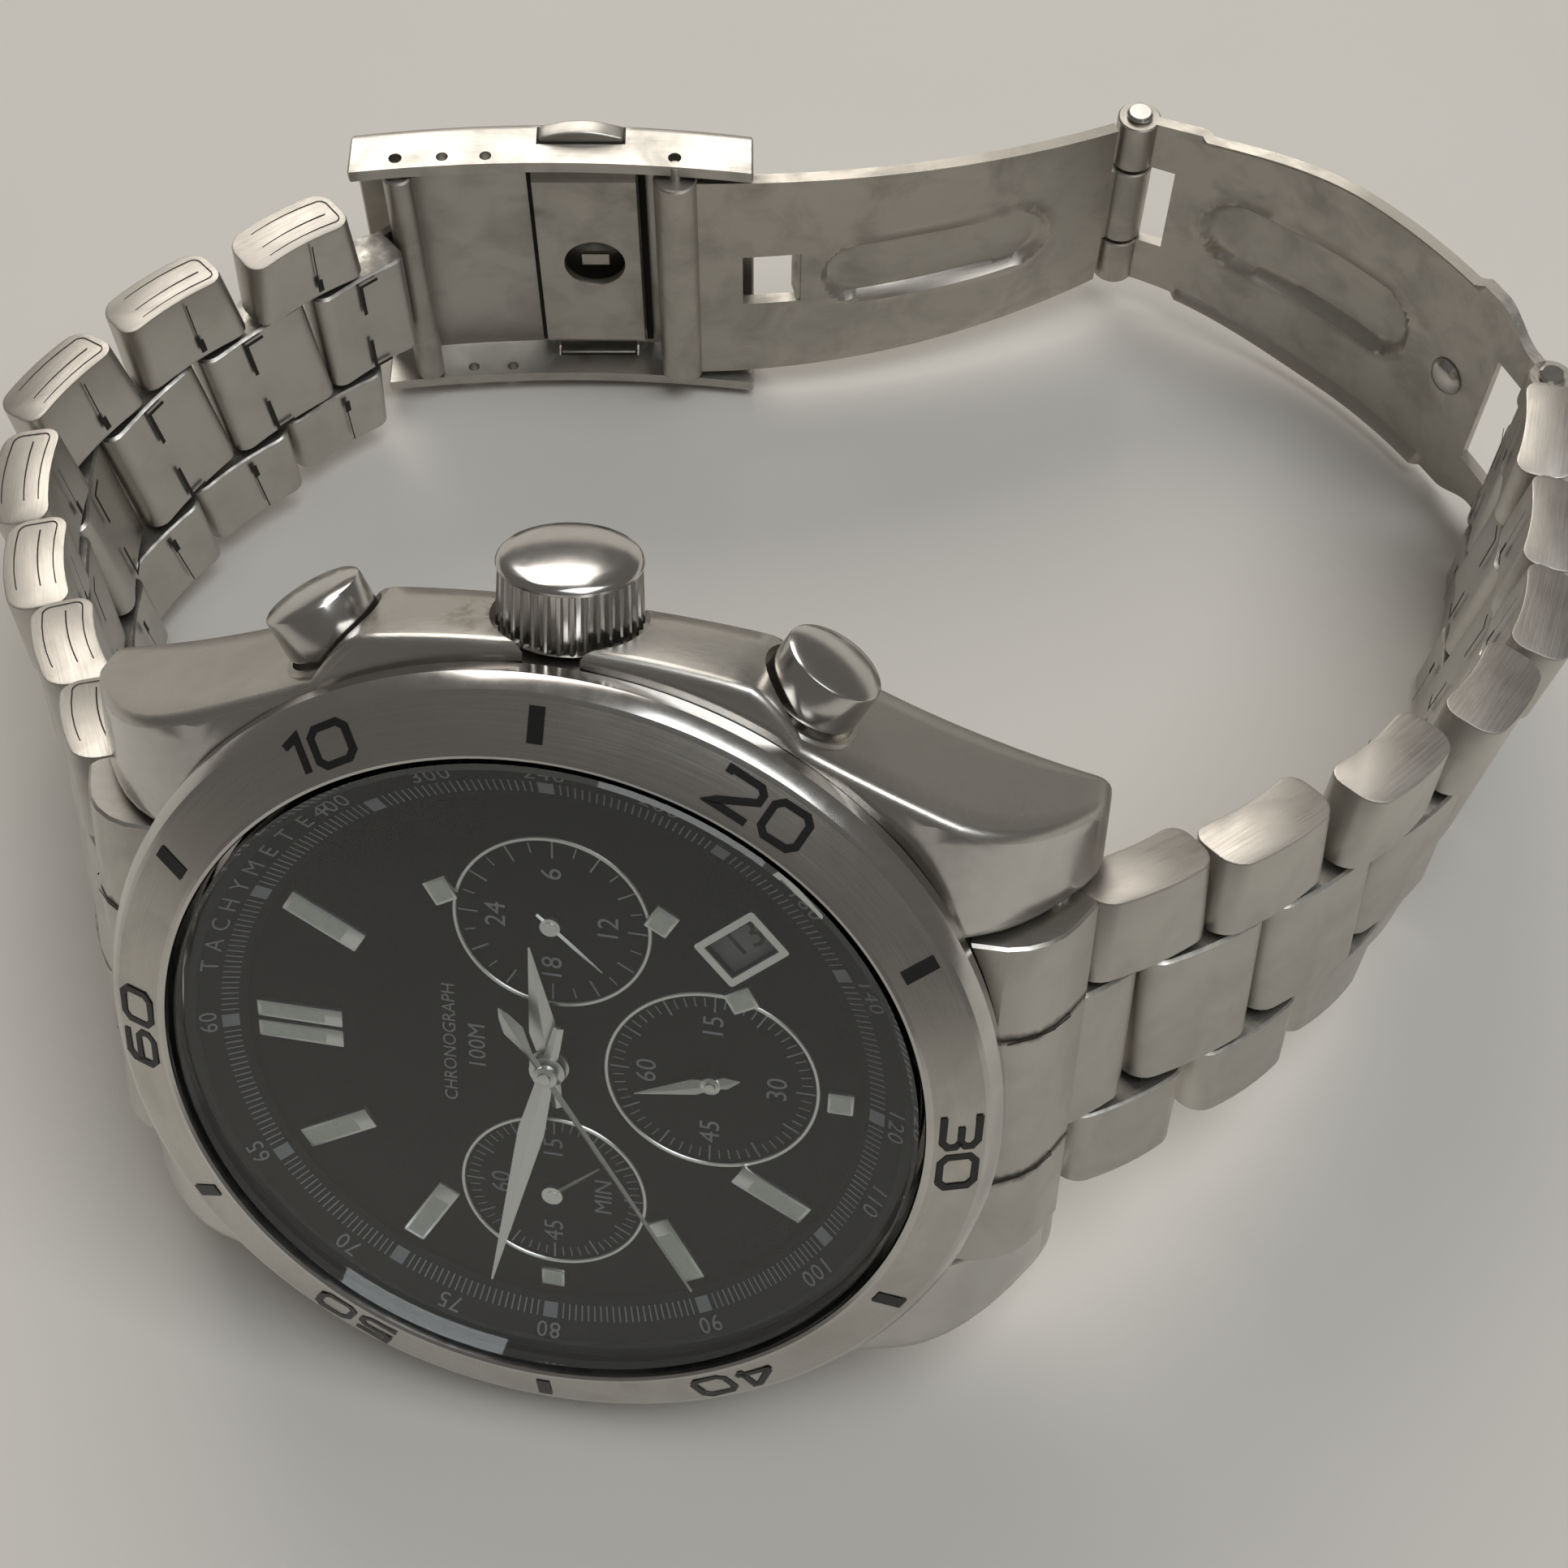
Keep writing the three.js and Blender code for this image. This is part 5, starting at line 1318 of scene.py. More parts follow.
@dataclass
class Controls:
    """The crown and the two pushers."""

    bench: Workbench
    finish: Finishes
    repeat: RadialRepeat
    where: Matrix
    height: float = STEM_Z
    crown_r: float = 3.35
    crown_base: float = 22.2
    crown_length: float = 4.1
    flutes: int = 34
    pusher_r: float = 2.45
    pusher_base: float = 22.9
    pusher_length: float = 2.7

    def crown(self) -> None:
        """Builds the crown: a fluted drum, a bright rim and a domed cap."""
        b, r, h = self.crown_base, self.crown_r, self.crown_length
        drum = lathe([(0, b), (r - 0.35, b), (r - 0.32, b + 0.15), (r - 0.32, b + h - 0.9), (r - 0.3, b + h - 0.85),
                      (0, b + h - 0.85)], 96, closed=False)
        foot, end = b + 0.25, b + h - 1.0
        rib = prism([(-0.35, -0.2), (-0.1, -0.17), (0.1, -0.09), (0.16, 0.0), (0.1, 0.09), (-0.1, 0.17),
                     (-0.35, 0.2)], foot, end)
        for i, (x, y, z) in enumerate(rib.points):
            high = z == end
            if x > -0.2:  # the crest, drawn in at its ends
                rib.points[i] = (x - (0.22 if high else 0.1), y, z)
            elif high:  # the root, under the cap
                rib.points[i] = (x, y, z + 0.12)
        ribs = self.repeat.repeat(self.bench, rib, self.flutes, r - 0.02)
        cap = lathe([(0, b + h - 1.05), (r - 0.3, b + h - 1.05), (r - 0.04, b + h - 0.95), (r, b + h - 0.8),
                     (r - 0.05, b + h - 0.66), (r - 0.22, b + h - 0.5), (r - 0.8, b + h - 0.32),
                     (r - 1.6, b + h - 0.15), (r - 2.5, b + h - 0.04), (0, b + h)], 96, closed=False)
        shape = drum.join(ribs).join(cap)
        at = shift(0, 0, self.height) @ Y_AXIS
        mesh = self.bench.mesh(shape.moved(at), weld=1e-5)
        self.bench.place("crown_knob", mesh, self.where, [self.finish.polished], "crown", "polished_steel",
                         ["crown"], smooth=30)

    def pushers(self) -> None:
        """Builds each pusher's domed button and the collar it slides in."""
        b, r, h = self.pusher_base, self.pusher_r, self.pusher_length
        for name, side in (("start", -1), ("reset", 1)):
            turn = turn_z(-math.radians(PUSHER_TURN * side)) @ shift(0, 0, self.height) @ Y_AXIS
            head = lathe([(0, b - 0.1), (r - 0.3, b - 0.1), (r - 0.06, b + 0.1), (r, b + 0.3), (r, b + h - 0.52),
                          (r - 0.04, b + h - 0.42), (r - 0.16, b + h - 0.33), (r - 0.7, b + h - 0.2),
                          (r - 1.5, b + h - 0.06), (0, b + h)], 72, closed=False)
            stem = disc(0.8, b - 5.5, b, 20)
            mesh = self.bench.mesh(head.join(stem).moved(turn), weld=1e-5)
            self.bench.place(f"{name}_button", mesh, self.where, [self.finish.polished], f"{name}_pusher",
                             "polished_steel", [f"{name}_pusher"], smooth=24)
            collar = lathe([(r + 0.06, b - 1.6), (r + 0.42, b - 1.6), (r + 0.42, b - 0.35), (r + 0.3, b - 0.2),
                            (r + 0.06, b - 0.2)], 72)
            mesh = self.bench.mesh(collar.moved(turn), weld=1e-5)
            self.bench.place(f"{name}_collar", mesh, self.where, [self.finish.case], "head", "case_steel")

    def build(self) -> None:
        """Builds the crown and the pushers."""
        self.crown()
        self.pushers()


# ---- The bracelet --------------------------------------------------------------------


@dataclass
class Bracelet:
    """One half of the bracelet: an end link and seven links."""

    bench: Workbench
    finish: Finishes
    joints: Joints
    head: Matrix
    hour: str
    side: int
    last_point: Vector
    pitch: float = 8.1
    count: int = 7
    half_thickness: float = 1.7
    width_lugs: float = 19.6
    width_clasp: float = 19.0
    centre_half: float = 4.15
    gap: float = 0.5

    def frame_of(self, i: int) -> Matrix:
        """Returns the placement of link i, with Z to the outside."""
        here = self.joints.pivot(f"link_{self.hour}_{i}_pin")
        name = f"link_{self.hour}_{i + 1}_pin"
        ahead = self.joints.pivot(name) if i < self.count else self.last_point
        pin = self.joints.axis(f"link_{self.hour}_{i}_pin")
        return placement(here, ahead - here, -pin)

    def arched(self, x0: float, x1: float, half: float, sag: float, r: float = 1.15) -> list[Flat]:
        """Returns the side view of a block: round ends and a gentle arch.

        Args:
            x0: The near end.
            x1: The far end.
            half: Half of its thickness.
            sag: How far the ends drop below the middle.
            r: The radius of its ends.

        Returns:
            Corners in XZ, counter-clockwise seen from -Y.
        """
        middle, reach = (x0 + x1) / 2, (x1 - x0) / 2
        plain = rounded_box(x0, x1, -half, half, r, 5)
        dense: list[Flat] = []
        n = len(plain)
        for i, (ax, az) in enumerate(plain):
            bx, bz = plain[(i + 1) % n]
            steps = max(1, int(math.hypot(bx - ax, bz - az) / 0.9))
            dense += [(ax + (bx - ax) * k / steps, az + (bz - az) * k / steps) for k in range(steps)]
        return [(x, z - sag * ((x - middle) / reach) ** 2 + sag * 0.3) for x, z in dense]

    @staticmethod
    def slab(profile: Sequence[Flat], half: float, inset: float, centre: Flat, reach: Flat) -> Shape:
        """Pushes a side view out to both sides, with its edges eased.

        Args:
            profile: Corners in XZ.
            half: Half of the slab's width.
            inset: How wide the easing is.
            centre: The point in XZ that the end faces shrink towards.
            reach: The sizes in X and Z that the easing is a share of.

        Returns:
            The closed slab.
        """
        cx, cz = centre
        rings = []
        for y, ease in ((-half, inset), (-half + inset, 0.0), (half - inset, 0.0), (half, inset)):
            kx, kz = 1 - ease / reach[0], 1 - ease / reach[1]
            rings.append([(cx + (x - cx) * kx, y, cz + (z - cz) * kz) for x, z in profile])
        return loft(rings)

    def side_block(self, y0: float, y1: float, taper: float) -> Shape:
        """Returns a side block between two widths, relieved at its outer end."""
        offset = self.pitch / 4
        x0, x1 = -offset + 0.16, self.pitch - offset - 0.16
        middle = (x0 + x1) / 2
        outline = self.arched(x0, x1, self.half_thickness, 0.4)
        rings: list[list[Point]] = []
        for share, inset in ((0.0, 0.12), (0.025, 0.0), (0.978, 0.0), (0.994, 0.03), (1.0, 0.11)):
            y = y0 + (y1 - y0) * share
            ring: list[Point] = []
            for x, z in outline:
                shrink = 1 - inset / 1.7
                lean = 0.32 * share * (x - middle) / (x1 - x0) * 2
                cut = taper * share * (x - x0) / (x1 - x0)
                across = middle + (x - middle) * (1 - inset / 3.8) - lean
                ring.append((across, y - math.copysign(cut, y0), z * shrink))
            rings.append(ring)
        return loft(rings)

    def end_lines(self, y: float, side: int) -> Shape:
        """Draws the folds of the sheet on a side block's end face, as near-black lines of painted shade."""
        offset = self.pitch / 4
        x0, x1 = -offset + 0.16, self.pitch - offset - 0.16
        shape = Shape()
        rim = self.arched(x0 + 0.75, x1 - 0.75, self.half_thickness - 0.62, 0.36, 0.45)
        fold = [(x0 + 1.7 + t * (x1 - x0 - 3.0) / 10, -0.12 - 0.36 * ((t - 5) / 7) ** 2) for t in range(11)]
        turn = Matrix(((1, 0, 0, 0), (0, 0, -side, y), (0, 1, 0, 0), (0, 0, 0, 1)))
        for path, width, closed in ((rim, 0.07, True), (fold, 0.08, False)):
            shape.join(stroke(path, width, 0.0, closed).moved(turn))
        return shape

    def inner_marks(self, i: int) -> Shape:
        """Draws the fold seams and slits on the link's inner face, in near-black paint that stands for their shade.
        """
        z = -self.half_thickness - 0.135
        flip = Matrix(((1, 0, 0, 0), (0, -1, 0, 0), (0, 0, -1, z), (0, 0, 0, 1)))
        shape = Shape()
        for s in (-1, 1):
            mid, edge = 2.5, self.width_clasp / 2
            shape.join(stroke([(mid, s * 5.6), (mid + 0.1, s * (edge - 0.3))], 0.09, 0.0).moved(flip))
            slot = [(mid + 0.1, s * 5.3), (mid + 0.1, s * 6.3)]
            shape.join(stroke(slot, 0.4, 0.005).moved(flip))
            step = 5.2 + 0.1 * (i % 3)
            foot = [(step, s * 1.2), (step, s * 3.75), (step + 1.25, s * 3.75)]
            shape.join(stroke(foot, 0.26, -0.06).moved(flip))
        return shape

    def link(self, i: int) -> None:
        """Builds link i: two side blocks, a centre block, the bar between and the pin."""
        offset = self.pitch / 4
        inner = self.centre_half + self.gap
        near, end = (self.width_lugs + (self.width_clasp - self.width_lugs) * k / self.count for k in (i - 1, i))
        out = near / 2
        taper = (near - end) / 2
        shape = Shape()
        for s in (-1, 1):
            shape.join(self.side_block(s * inner, s * out, taper))
        last = i == self.count
        far = self.pitch + offset - 0.18
        if last and self.side > 0:
            far = self.pitch - 1.0
        if last and self.side < 0:
            far = self.pitch + 0.85
        centre = self.arched(offset + 0.18, far, self.half_thickness - 0.06, 0.3, 1.1)
        shape.join(self.slab(centre, self.centre_half, 0.16, ((offset + far) / 2, 0.0), (3.8, 1.65)))
        deep = inner + 0.3
        # The bar between the blocks and the pin are near-black: painted shade seen through the gaps.
        shape.join(block(offset + 0.9, self.pitch - offset - 0.9, -deep, deep, -1.15, 1.0), None, 2)
        shape.join(rod(0.4, -deep, deep, 12), None, 2)
        if last and self.side < 0:
            shape.join(block(far - 0.8, self.pitch + 2.0, -3.9, 3.9, 0.95, 1.45))
        mesh = self.bench.mesh(shape, weld=1e-5)
        details = Shape()
        if self.side < 0:
            for s in (-1, 1):
                details.join(self.end_lines(s * (out - taper / 2 + 0.012), s))
        details.join(self.inner_marks(i))
        whole = Workbench.as_shape(mesh)
        # Faces at the outer ends of the side blocks take the darker, rougher edge steel: painted shade in its
        # colour.
        for k, face in enumerate(whole.faces):
            ys = [abs(whole.points[v][1]) for v in face]
            if min(ys) > out - taper - 0.25 and whole.finishes[k] == 0:
                whole.finishes[k] = 1
        # The folds, seams and slits take the near-black third finish: painted shade.
        whole.join(details, None, 2)
        mesh = self.bench.mesh(whole, weld=1e-6)
        self.bench.place(f"bracelet_{self.hour}_{i}", mesh, self.frame_of(i),
                         [self.finish.link, self.finish.link_side, self.finish.grime], f"link_{self.hour}_{i}",
                         "link_steel", [f"link_{self.hour}_{i}"], smooth=26)

    def end_link(self) -> None:
        """Builds the end link between the lugs, and its tongue to the first link."""
        half = 9.8
        pivot = (25.8, -11.0)
        slope = math.radians(51)
        along, out = (math.cos(slope), -math.sin(slope)), (math.sin(slope), math.cos(slope))

        def at(a: float, o: float) -> Flat:
            """Returns a point along and out from the first pin, in head axes."""
            return pivot[0] + a * along[0] + o * out[0], pivot[1] + a * along[1] + o * out[1]

        profile = [(17.5, -10.2), (21.2, -10.2), at(-2.75, -1.5), at(-2.62, -0.9), at(-2.62, 1.2),
                   at(-2.85, 1.62), (24.55, -6.0), (24.0, -4.9), (23.3, -4.05), (22.4, -3.4), (21.4, -3.05),
                   (17.5, -2.95)]
        shape = self.slab(profile, half, 0.15, (21.0, -7.0), (4, 4))
        tongue = self.slab(self.arched(-3.6, 1.72, 1.58, 0.15, 1.1), self.centre_half, 0.16, (0.0, 0.0), (3, 1.6))
        turn = shift(pivot[0], 0, pivot[1]) @ Matrix.Rotation(slope, 4, "Y")
        mesh = self.bench.mesh(shape)
        cutter = disc(22.0, -30, 5, 128)
        cutter.join(disc(22.5, -2.7, 5, 128))
        mesh = self.bench.cut(mesh, cutter)
        whole = Workbench.as_shape(mesh).join(tongue.moved(turn))
        # A near-black strip along each groove beside the middle of the end link: painted shade in the groove.
        for s in (-1, 1):
            groove = [(21.9, -3.0), (23.2, -3.92), (24.0, -4.8), (24.62, -5.95), (24.3, -8.1)]
            for (ax, az), (bx, bz) in zip(groove, groove[1:]):
                y = s * (self.centre_half + 0.22)
                whole.add([(ax, y - 0.06, az + 0.06), (ax, y + 0.06, az + 0.06),
                           (bx + 0.05, y + 0.06, bz + 0.05), (bx + 0.05, y - 0.06, bz + 0.05)],
                          [(0, 1, 2, 3)], 1)
        mesh = self.bench.mesh(whole, weld=1e-5)
        if self.side < 0:
            mesh.transform(turn_z(math.pi))
        self.bench.place(f"end_piece_{self.hour}", mesh, self.head, [self.finish.link, self.finish.grime],
                         "head", "link_steel", [f"end_link_{self.hour}"], smooth=30)

    def build(self) -> None:
        """Builds the end link and all the links."""
        self.end_link()
        for i in range(1, self.count + 1):
            self.link(i)


# ---- The clasp -----------------------------------------------------------------------


@dataclass
class Clasp:
    """The cover, its latch and buttons, and the two folding blades."""

    bench: Workbench
    finish: Finishes
    joints: Joints
    end_pin: Vector
    length: float = 25.2
    half: float = 10.3
    lead: float = 2.9
    wall: float = 0.8
    bow: float = 1.0
    hinge_x: float = 17.4
    latch_x: float = 11.5
    middle_length: float = 31.0
    lower_length: float = 32.0
    barrel_r: float = 1.4

    def __post_init__(self) -> None:
        """Works out where the cover and the blades stand."""
        pin = self.joints.axis("cover_pin")
        bar = self.joints.pivot("cover_pin")
        first = self.joints.pivot("middle_blade_fold")
        second = self.joints.pivot("lower_blade_fold")
        self.at_cover = placement(bar, first - bar, pin)
        self.at_middle = placement(first, second - first, pin)
        self.at_lower = placement(second, self.end_pin - second, pin)

    def rise(self, x: float) -> float:
        """Returns how far the cover bows outwards at x."""
        t = (x + self.lead) / self.length
        return -self.bow * 4 * t * (1 - t)

    def section(self, x: float, inset: float = 0.0) -> list[Point]:
        """Returns the cover's U-shaped section at x."""
        z, h, w = self.rise(x), self.half - inset, self.wall - inset
        base, edge = -2.8 + inset, 0.9 - inset * 1.5
        outer = [(-h, edge), (-h, base + 0.9), (-h + 0.1, base + 0.45), (-h + 0.4, base + 0.12),
                 (-h + 0.9, base)]
        outer += [(-5, base), (0, base), (5, base)]
        outer += [(-y, v) for y, v in reversed(outer[:5])]
        hi = self.half - w
        bi = -2.8 + w
        inner = [(hi, edge), (hi, bi + 0.5), (hi - 0.12, bi + 0.14), (hi - 0.5, bi), (5, bi), (0, bi)]
        inner += [(-y, v) for y, v in reversed(inner[:5])]
        return [(x, y, v + (z if v < 0.5 else z * 0.9)) for y, v in outer + inner]

    def cover(self) -> None:
        """Builds the channel-shaped cover with its holes and button windows."""
        x0, x1 = -self.lead, self.length - self.lead
        stations = [(x0, 0.12), (x0 + 0.12, 0.0)]
        stations += [(x0 + (x1 - x0) * i / 14, 0.0) for i in range(1, 14)]
        stations += [(x1 - 0.12, 0.0), (x1, 0.12)]
        mesh = self.bench.mesh(loft([self.section(x, inset) for x, inset in stations]))
        holes = Shape()
        for x, r in ((0.0, 0.42), (2.9, 0.38), (5.6, 0.38), (self.hinge_x, 0.42)):
            holes.join(rod(r, -12, 12, 20).moved(shift(x, 0, -0.15 + self.rise(x) * 0.5)))
        holes.join(block(self.latch_x - 2.8, self.latch_x + 2.8, -12, 12, -3.15, -1.6))
        mesh = self.bench.cut(mesh, holes)
        self.bench.place("clasp_channel", mesh, self.at_cover, [self.finish.clasp], "clasp_cover", "clasp_steel",
                         ["clasp_cover"], smooth=34)

    def latch(self) -> None:
        """Builds the latch plate: a raised strip across the cover with a round hole."""
        x, w = self.latch_x, 3.35
        ring = []
        for y in (-8.4, -8.25, -7.8, -7.4, 0.0, 7.4, 7.8, 8.25, 8.4):
            z = -2.45 if abs(y) > 8 else (-1.75 if abs(y) < 7.5 else -2.05)
            ring.append([(x - w, y, z), (x + w, y, z), (x + w, y, z + 0.55), (x - w, y, z + 0.55)])
        mesh = self.bench.mesh(loft(ring))
        hole = disc(2.0, -4, 0, 40).moved(shift(x + 0.3, 0, 0))
        mesh = self.bench.bevel(self.bench.cut(mesh, hole), 0.1, 40)
        bar = block(x - 0.9, x + 0.9, -0.45, 0.5, -2.35, -2.05)
        whole = Workbench.as_shape(mesh).join(bar.moved(shift(0.3, -0.5, 0)))
        # Near-black strips beside both ends of the plate: painted shade in the gaps under its edges.
        whole.join(block(x - w - 0.4, x - w - 0.06, -8.6, 8.6, -2.62, -2.3), None, 1)
        whole.join(block(x + w + 0.06, x + w + 0.5, -8.6, 8.6, -2.62, -2.3), None, 1)
        self.bench.place("latch_strip", self.bench.mesh(whole, weld=1e-5), self.at_cover,
                         [self.finish.blade, self.finish.grime], "clasp_cover", "blade_steel", ["latch_plate"])

    def pins(self) -> None:
        """Builds the spring bar tube, the hinge pin and the two blade pins."""
        bar = rod(0.38, -9.9, 9.9, 20).join(rod(0.95, -9.3, 9.3, 32, 0.12))
        hinge = rod(0.4, -10.2, 10.2, 20, 0.1).moved(shift(self.hinge_x, 0, 0))
        fold = rod(0.4, -7.35, 7.35, 20).join(rod(0.85, 7.1, 7.5, 24, 0.15)).join(rod(0.85, -7.5, -7.1, 24, 0.15))
        end = rod(0.4, -7.5, 7.5, 20).join(rod(0.8, 7.3, 7.65, 24, 0.15)).join(rod(0.8, -7.65, -7.3, 24, 0.15))
        end = end.moved(shift(self.lower_length, 0, 0))
        pin, polished = self.finish.pin, self.finish.polished
        for name, shape, weld, at, look, body, node in (
            ("spring_bar_tube", bar, 1e-5, self.at_cover, pin, "clasp_cover", "clasp_spring_bar"),
            ("hinge_pin_rod", hinge, 1e-4, self.at_cover, pin, "clasp_cover", "blade_hinge_pin"),
            ("fold_pin_rod", fold, 1e-5, self.at_lower, polished, "lower_blade", "fold_pin"),
            ("end_pin_rod", end, 1e-5, self.at_lower, polished, "lower_blade", "bracelet_end_pin"),
        ):
            self.bench.place(name, self.bench.mesh(shape, weld=weld), at, [look], body, "pin_steel", [node])

    def buttons(self) -> None:
        """Builds the two push buttons in the cover's flanges."""
        half, inside, outside = 2.65, self.half - self.wall - 0.1, self.half + 0.8
        crown = 0.55
        outline = [(half, inside), (half, outside - crown)]
        outline += [(half - 2 * half * i / 12, outside - crown + crown * math.sin(math.pi * i / 12))
                    for i in range(1, 12)]
        outline += [(-half, outside - crown), (-half, inside)]
        for name, s in (("upper", 1), ("lower", -1)):
            pts = [(x + self.latch_x, y * s) for x, y in outline]
            mesh = self.bench.mesh(prism(pts, -2.95, -1.78))
            mesh = self.bench.bevel(mesh, 0.16, 30, 3)
            self.bench.place(f"{name}_release", mesh, self.at_cover, [self.finish.clasp], f"{name}_push_button",
                             "polished_steel", [f"{name}_push_button"])

    def sheet(self, length: float, start: float, end: float, half_width: Callable[[float], float],
              height: Callable[[float, float], float], across: int = 48) -> Shape:
        """Makes a pressed sheet 0.8 thick.

        Args:
            length: The blade's length from pin to pin; not used.
            start: Where the sheet starts.
            end: Where it ends.
            half_width: Half of its width at each x.
            height: The height of its middle surface at x, y.
            across: How many strips its width has.

        Returns:
            The closed sheet.
        """
        t = 0.4
        steps = int((end - start) / 0.3)
        rings: list[list[Point]] = []
        for i in range(steps + 1):
            x = start + (end - start) * i / steps
            w = half_width(x)
            row = [-w + 2 * w * k / across for k in range(across + 1)]
            top = [(x, y, height(x, y) + t) for y in row]
            low = [(x, y, height(x, y) - t) for y in reversed(row)]
            rings.append(low + top)
        return loft(rings)

    @staticmethod
    def stadium(x: float, y: float, x0: float, x1: float, r: float) -> float:
        """Returns the distance from a point to the edge of a stadium, above 0 inside."""
        cx = min(max(x, x0 + r), x1 - r)
        return r - math.hypot(x - cx, y)

    def middle_blade(self) -> None:
        """Builds the middle blade: barrel, window, oval panel and tab."""
        length, bow = self.middle_length, 2.0

        def curve(x: float) -> float:
            """Returns the blade's bow at x."""
            t = x / length
            return bow * 4 * t * (1 - t)

        def width(x: float) -> float:
            """Returns half of the blade's width at x."""
            t = min(1.0, max(0.0, (x - 0.9) / (length - 2.5)))
            return 8.9 + (6.9 - 8.9) * t ** 1.6

        def height(x: float, y: float) -> float:
            """Returns the height of the sheet, with its oval panel pressed in."""
            edge = self.stadium(x, y, 9.0, 25.0, 2.7)
            lip = 0.2 * math.exp(-((edge / 0.3) ** 2))
            return curve(x) + lip - 0.5 * smoothstep(edge, 0.05, 0.75)

        mesh = self.bench.mesh(self.sheet(length, 0.9, length - 1.7, width, height))
        hole = block(4.0, 7.8, -2.2, 2.2, -4, 6)
        mesh = self.bench.cut(mesh, hole)
        whole = Workbench.as_shape(mesh)
        lip = block(7.55, 7.8, -2.15, 2.15, curve(7.8) - 1.1, curve(7.8) + 0.3)
        whole.join(lip)
        tab = self.sheet(length, length - 2.6, length - 0.7, lambda x: 3.1, lambda x, y: curve(x) * 0.6, 8)
        whole.join(tab)
        whole.join(rod(self.barrel_r, -9.1, 9.1, 40, 0.12))
        whole.join(rod(self.barrel_r, -3.1, 3.1, 40, 0.1).moved(shift(length, 0, 0)))
        mesh = self.bench.mesh(whole, weld=1e-5)
        self.bench.place("middle_leaf", mesh, self.at_middle, [self.finish.blade], "middle_blade", "blade_steel",
                         ["middle_blade"], smooth=34)

    def lower_blade(self) -> None:
        """Builds the lower blade: turned rims, oval panel, forks and knuckles."""
        length, bow = self.lower_length, 3.6

        def curve(x: float) -> float:
            """Returns the blade's bow at x."""
            t = x / length
            return -bow * 4 * t * (1 - t)

        def width(x: float) -> float:
            """Returns half of the blade's width at x."""
            t = (x - 0.9) / (length - 1.8)
            spread = 7.1 + 1.6 * smoothstep(t, 0.0, 0.5)
            return spread + (7.3 - spread) * smoothstep(t, 0.86, 0.97)

        def height(x: float, y: float) -> float:
            """Returns the height of the sheet, with its rims and oval panel."""
            edge = self.stadium(x, y, 5.2, 21.5, 2.9)
            lip = 0.22 * math.exp(-((edge / 0.3) ** 2))
            rim = 0.0
            if 4.2 < x < 25.4:
                rim = 0.55 * smoothstep(abs(y), width(x) - 0.75, width(x) - 0.1)
                rim *= smoothstep(x, 4.2, 4.8) * (1 - smoothstep(x, 24.8, 25.4))
            return curve(x) + lip - 0.5 * smoothstep(edge, 0.05, 0.75) + rim

        mesh = self.bench.mesh(self.sheet(length, 0.9, length - 0.9, width, height))
        cuts = block(-3, 3.0, -3.4, 3.4, -5, 5)
        cuts.join(block(length - 3.8, length + 3, -4.7, 4.7, -6, 5))
        mesh = self.bench.cut(mesh, cuts)
        whole = Workbench.as_shape(mesh)
        for s in (-1, 1):
            for x, y0, y1 in ((0.0, 3.4, 7.1), (length, 4.7, 7.3)):
                low, high = sorted((s * y0, s * y1))
                whole.join(rod(self.barrel_r, low, high, 36, 0.1).moved(shift(x, 0, 0)))
        mesh = self.bench.mesh(whole, weld=1e-5)
        self.bench.place("lower_leaf", mesh, self.at_lower, [self.finish.blade], "lower_blade", "blade_steel",
                         ["lower_blade"], smooth=34)
        x = self.middle_length - (self.hinge_x - self.latch_x)
        slope = math.atan(-bow * 4 * (1 - 2 * x / length) / length)
        stud = lathe([(0, 0.98), (0.5, 0.95), (1.0, 0.8), (1.3, 0.5), (1.3, 0.42), (0.8, 0.42), (0.8, -1.45),
                      (1.3, -1.65), (1.3, -2.15), (0.6, -2.55), (0, -2.55)], 32, closed=False)
        at = shift(x, 0, curve(x)) @ Matrix.Rotation(-slope, 4, "Y")
        self.bench.place("latch_rivet", self.bench.mesh(stud.moved(at)), self.at_lower, [self.finish.polished],
                         "lower_blade", "polished_steel", ["latch_stud"])

    def build(self) -> None:
        """Builds every piece of the clasp."""
        self.cover()
        self.latch()
        self.pins()
        self.buttons()
        self.middle_blade()
        self.lower_blade()


# ---- What stays as it is -------------------------------------------------------------


def dress_frame(nodes: dict[str, bpy.types.Object], finish: Finishes) -> None:
    """Gives the CAD nodes that stay their materials."""
    looks = {
        "crystal_gasket": finish.rubber, "case_back_gasket": finish.rubber, "movement": finish.brass,
        "movement_holder": finish.plastic, "battery": finish.polished, "motor_coil": finish.copper,
        "crown_stem": finish.pin, "setting_sleeve": finish.brass, "spring_bar_12": finish.pin,
        "spring_bar_6": finish.pin,
    }
    for name, material in looks.items():
        node = nodes[name]
        node.data.materials.clear()
        node.data.materials.append(material)
        spot = node.data.attributes.new("place", "FLOAT_VECTOR", "POINT")
        spot.data.foreach_set("vector", [c / MM for v in node.data.vertices for c in v.co])


# ---- Studio --------------------------------------------------------------------------


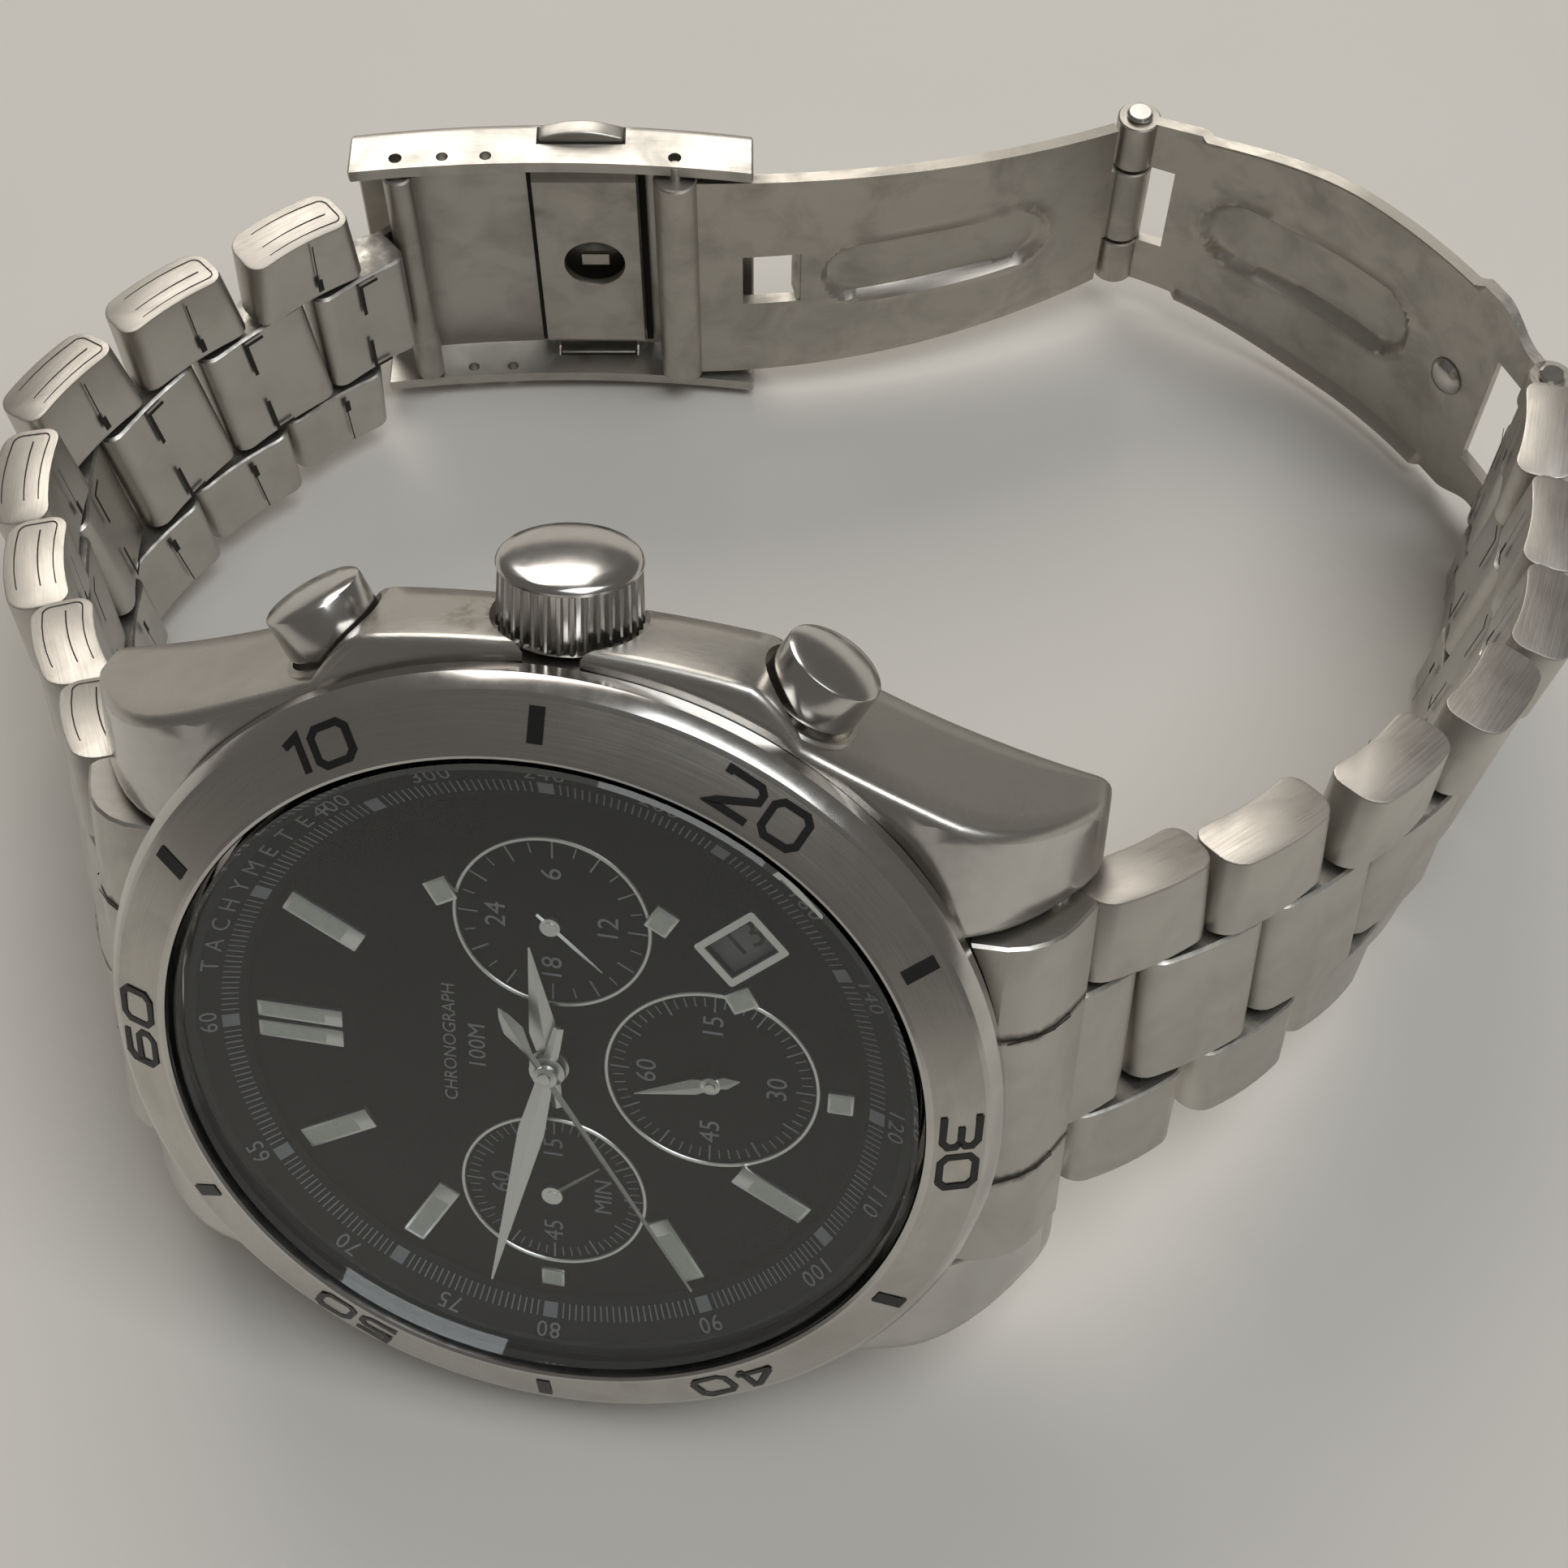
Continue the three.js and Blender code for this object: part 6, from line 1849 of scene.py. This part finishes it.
@dataclass
class Studio:
    """The table, the lights and the camera."""

    head: Vector
    camera_from_head: Point = (0.02113, -0.04392, 0.10641)
    look: Point = (-0.1016, 0.5051, -0.8571)
    up: Point = (-0.1472, 0.8444, 0.5151)
    lens: float = 55.03

    def floor(self) -> None:
        """Builds the pale table top."""
        mesh = bpy.data.meshes.new("table")
        s = 1.2
        mesh.from_pydata([(-s, -s, 0), (s, -s, 0), (s, s, 0), (-s, s, 0)], [], [(0, 1, 2, 3)])
        material = bpy.data.materials.new("pale table")
        material.use_nodes = True
        wires = Wiring(material.node_tree)
        shader = material.node_tree.nodes["Principled BSDF"].inputs
        shader["Roughness"].default_value = 0.75
        shader["Specular IOR Level"].default_value = 0.25
        place = wires.node("ShaderNodeTexCoord").outputs["Object"]
        noise = wires.node("ShaderNodeTexNoise", {"Scale": 18.0, "Detail": 8.0, "Vector": place})
        tone = wires.mix(noise.outputs["Fac"], (0.60, 0.575, 0.53, 1), (0.66, 0.635, 0.59, 1))
        wires.tree.links.new(tone, shader["Base Color"])
        mesh.materials.append(material)
        table = bpy.data.objects.new("table", mesh)
        bpy.context.scene.collection.objects.link(table)

    @staticmethod
    def lamp(name: str, where: Point, aim: Point, size: float, power: float, colour: Point) -> None:
        """Adds a square soft light.

        Args:
            name: The light's name.
            where: Its place in metres.
            aim: The point it faces.
            size: The length of its side.
            power: Its power in watts.
            colour: Its colour.
        """
        data = bpy.data.lights.new(name, "AREA")
        data.shape = "SQUARE"
        data.size = size
        data.energy = power
        data.color = colour
        lamp = bpy.data.objects.new(name, data)
        lamp.location = where
        lamp.rotation_euler = (Vector(aim) - Vector(where)).to_track_quat("-Z", "Y").to_euler()
        bpy.context.scene.collection.objects.link(lamp)

    def lights(self) -> None:
        """Adds the lights and the grey surroundings."""
        warm, cool = (1.0, 0.96, 0.9), (0.94, 0.97, 1.0)
        self.lamp("window", (-0.25, 0.65, 0.6), (0, 0.0, 0.02), 0.6, 4.0, warm)
        self.lamp("ceiling", (0.3, -0.1, 0.8), (0, 0, 0), 0.6, 4.0, cool)
        world = bpy.data.worlds.new("room")
        world.use_nodes = True
        background = world.node_tree.nodes["Background"].inputs
        background["Color"].default_value = (0.5, 0.48, 0.45, 1)
        background["Strength"].default_value = 0.28
        bpy.context.scene.world = world

    def camera(self) -> None:
        """Adds the camera."""
        data = bpy.data.cameras.new("camera")
        data.lens = self.lens
        data.sensor_width = 36.0
        data.clip_start = 0.005
        data.clip_end = 20.0
        camera = bpy.data.objects.new("camera", data)
        back = -Vector(self.look).normalized()
        right = Vector(self.up).cross(back).normalized()
        up = back.cross(right)
        turn = Matrix((right, up, back)).transposed().to_4x4()
        camera.matrix_world = Matrix.Translation(self.head + Vector(self.camera_from_head)) @ turn
        bpy.context.scene.collection.objects.link(camera)
        bpy.context.scene.camera = camera

    def build(self) -> None:
        """Builds the whole studio."""
        bpy.context.scene.view_settings.view_transform = "Standard"
        self.floor()
        self.lights()
        self.camera()


# ---- Main ----------------------------------------------------------------------------


def main() -> None:
    """Builds the watch round the frame."""
    logging.basicConfig(level=logging.INFO, format="%(name)s: %(message)s")
    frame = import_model()
    joints = Joints(frame["joints"])
    centre = joints.pivot("minute_turn")
    crown, dial = joints.axis("crown_turn"), -joints.axis("minute_turn")
    head = placement(centre, crown.cross(dial), crown)
    low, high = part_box("bracelet_end_pin")
    end_pin = (low + high) / 2
    Studio(centre).build()
    bench, finish, repeat = Workbench(), Finishes(), RadialRepeat()
    Case(bench, finish, repeat, head).build()
    Face(bench, finish, repeat, head).build()
    Hands(bench, finish, head).build()
    Controls(bench, finish, repeat, head).build()
    Bracelet(bench, finish, joints, head, "12", -1, joints.pivot("cover_pin")).build()
    Bracelet(bench, finish, joints, head, "6", 1, end_pin).build()
    Clasp(bench, finish, joints, end_pin).build()
    dress_frame(frame["nodes"], finish)
    log.info("%d pieces", len(bench.made))


if __name__ == "__main__":
    main()
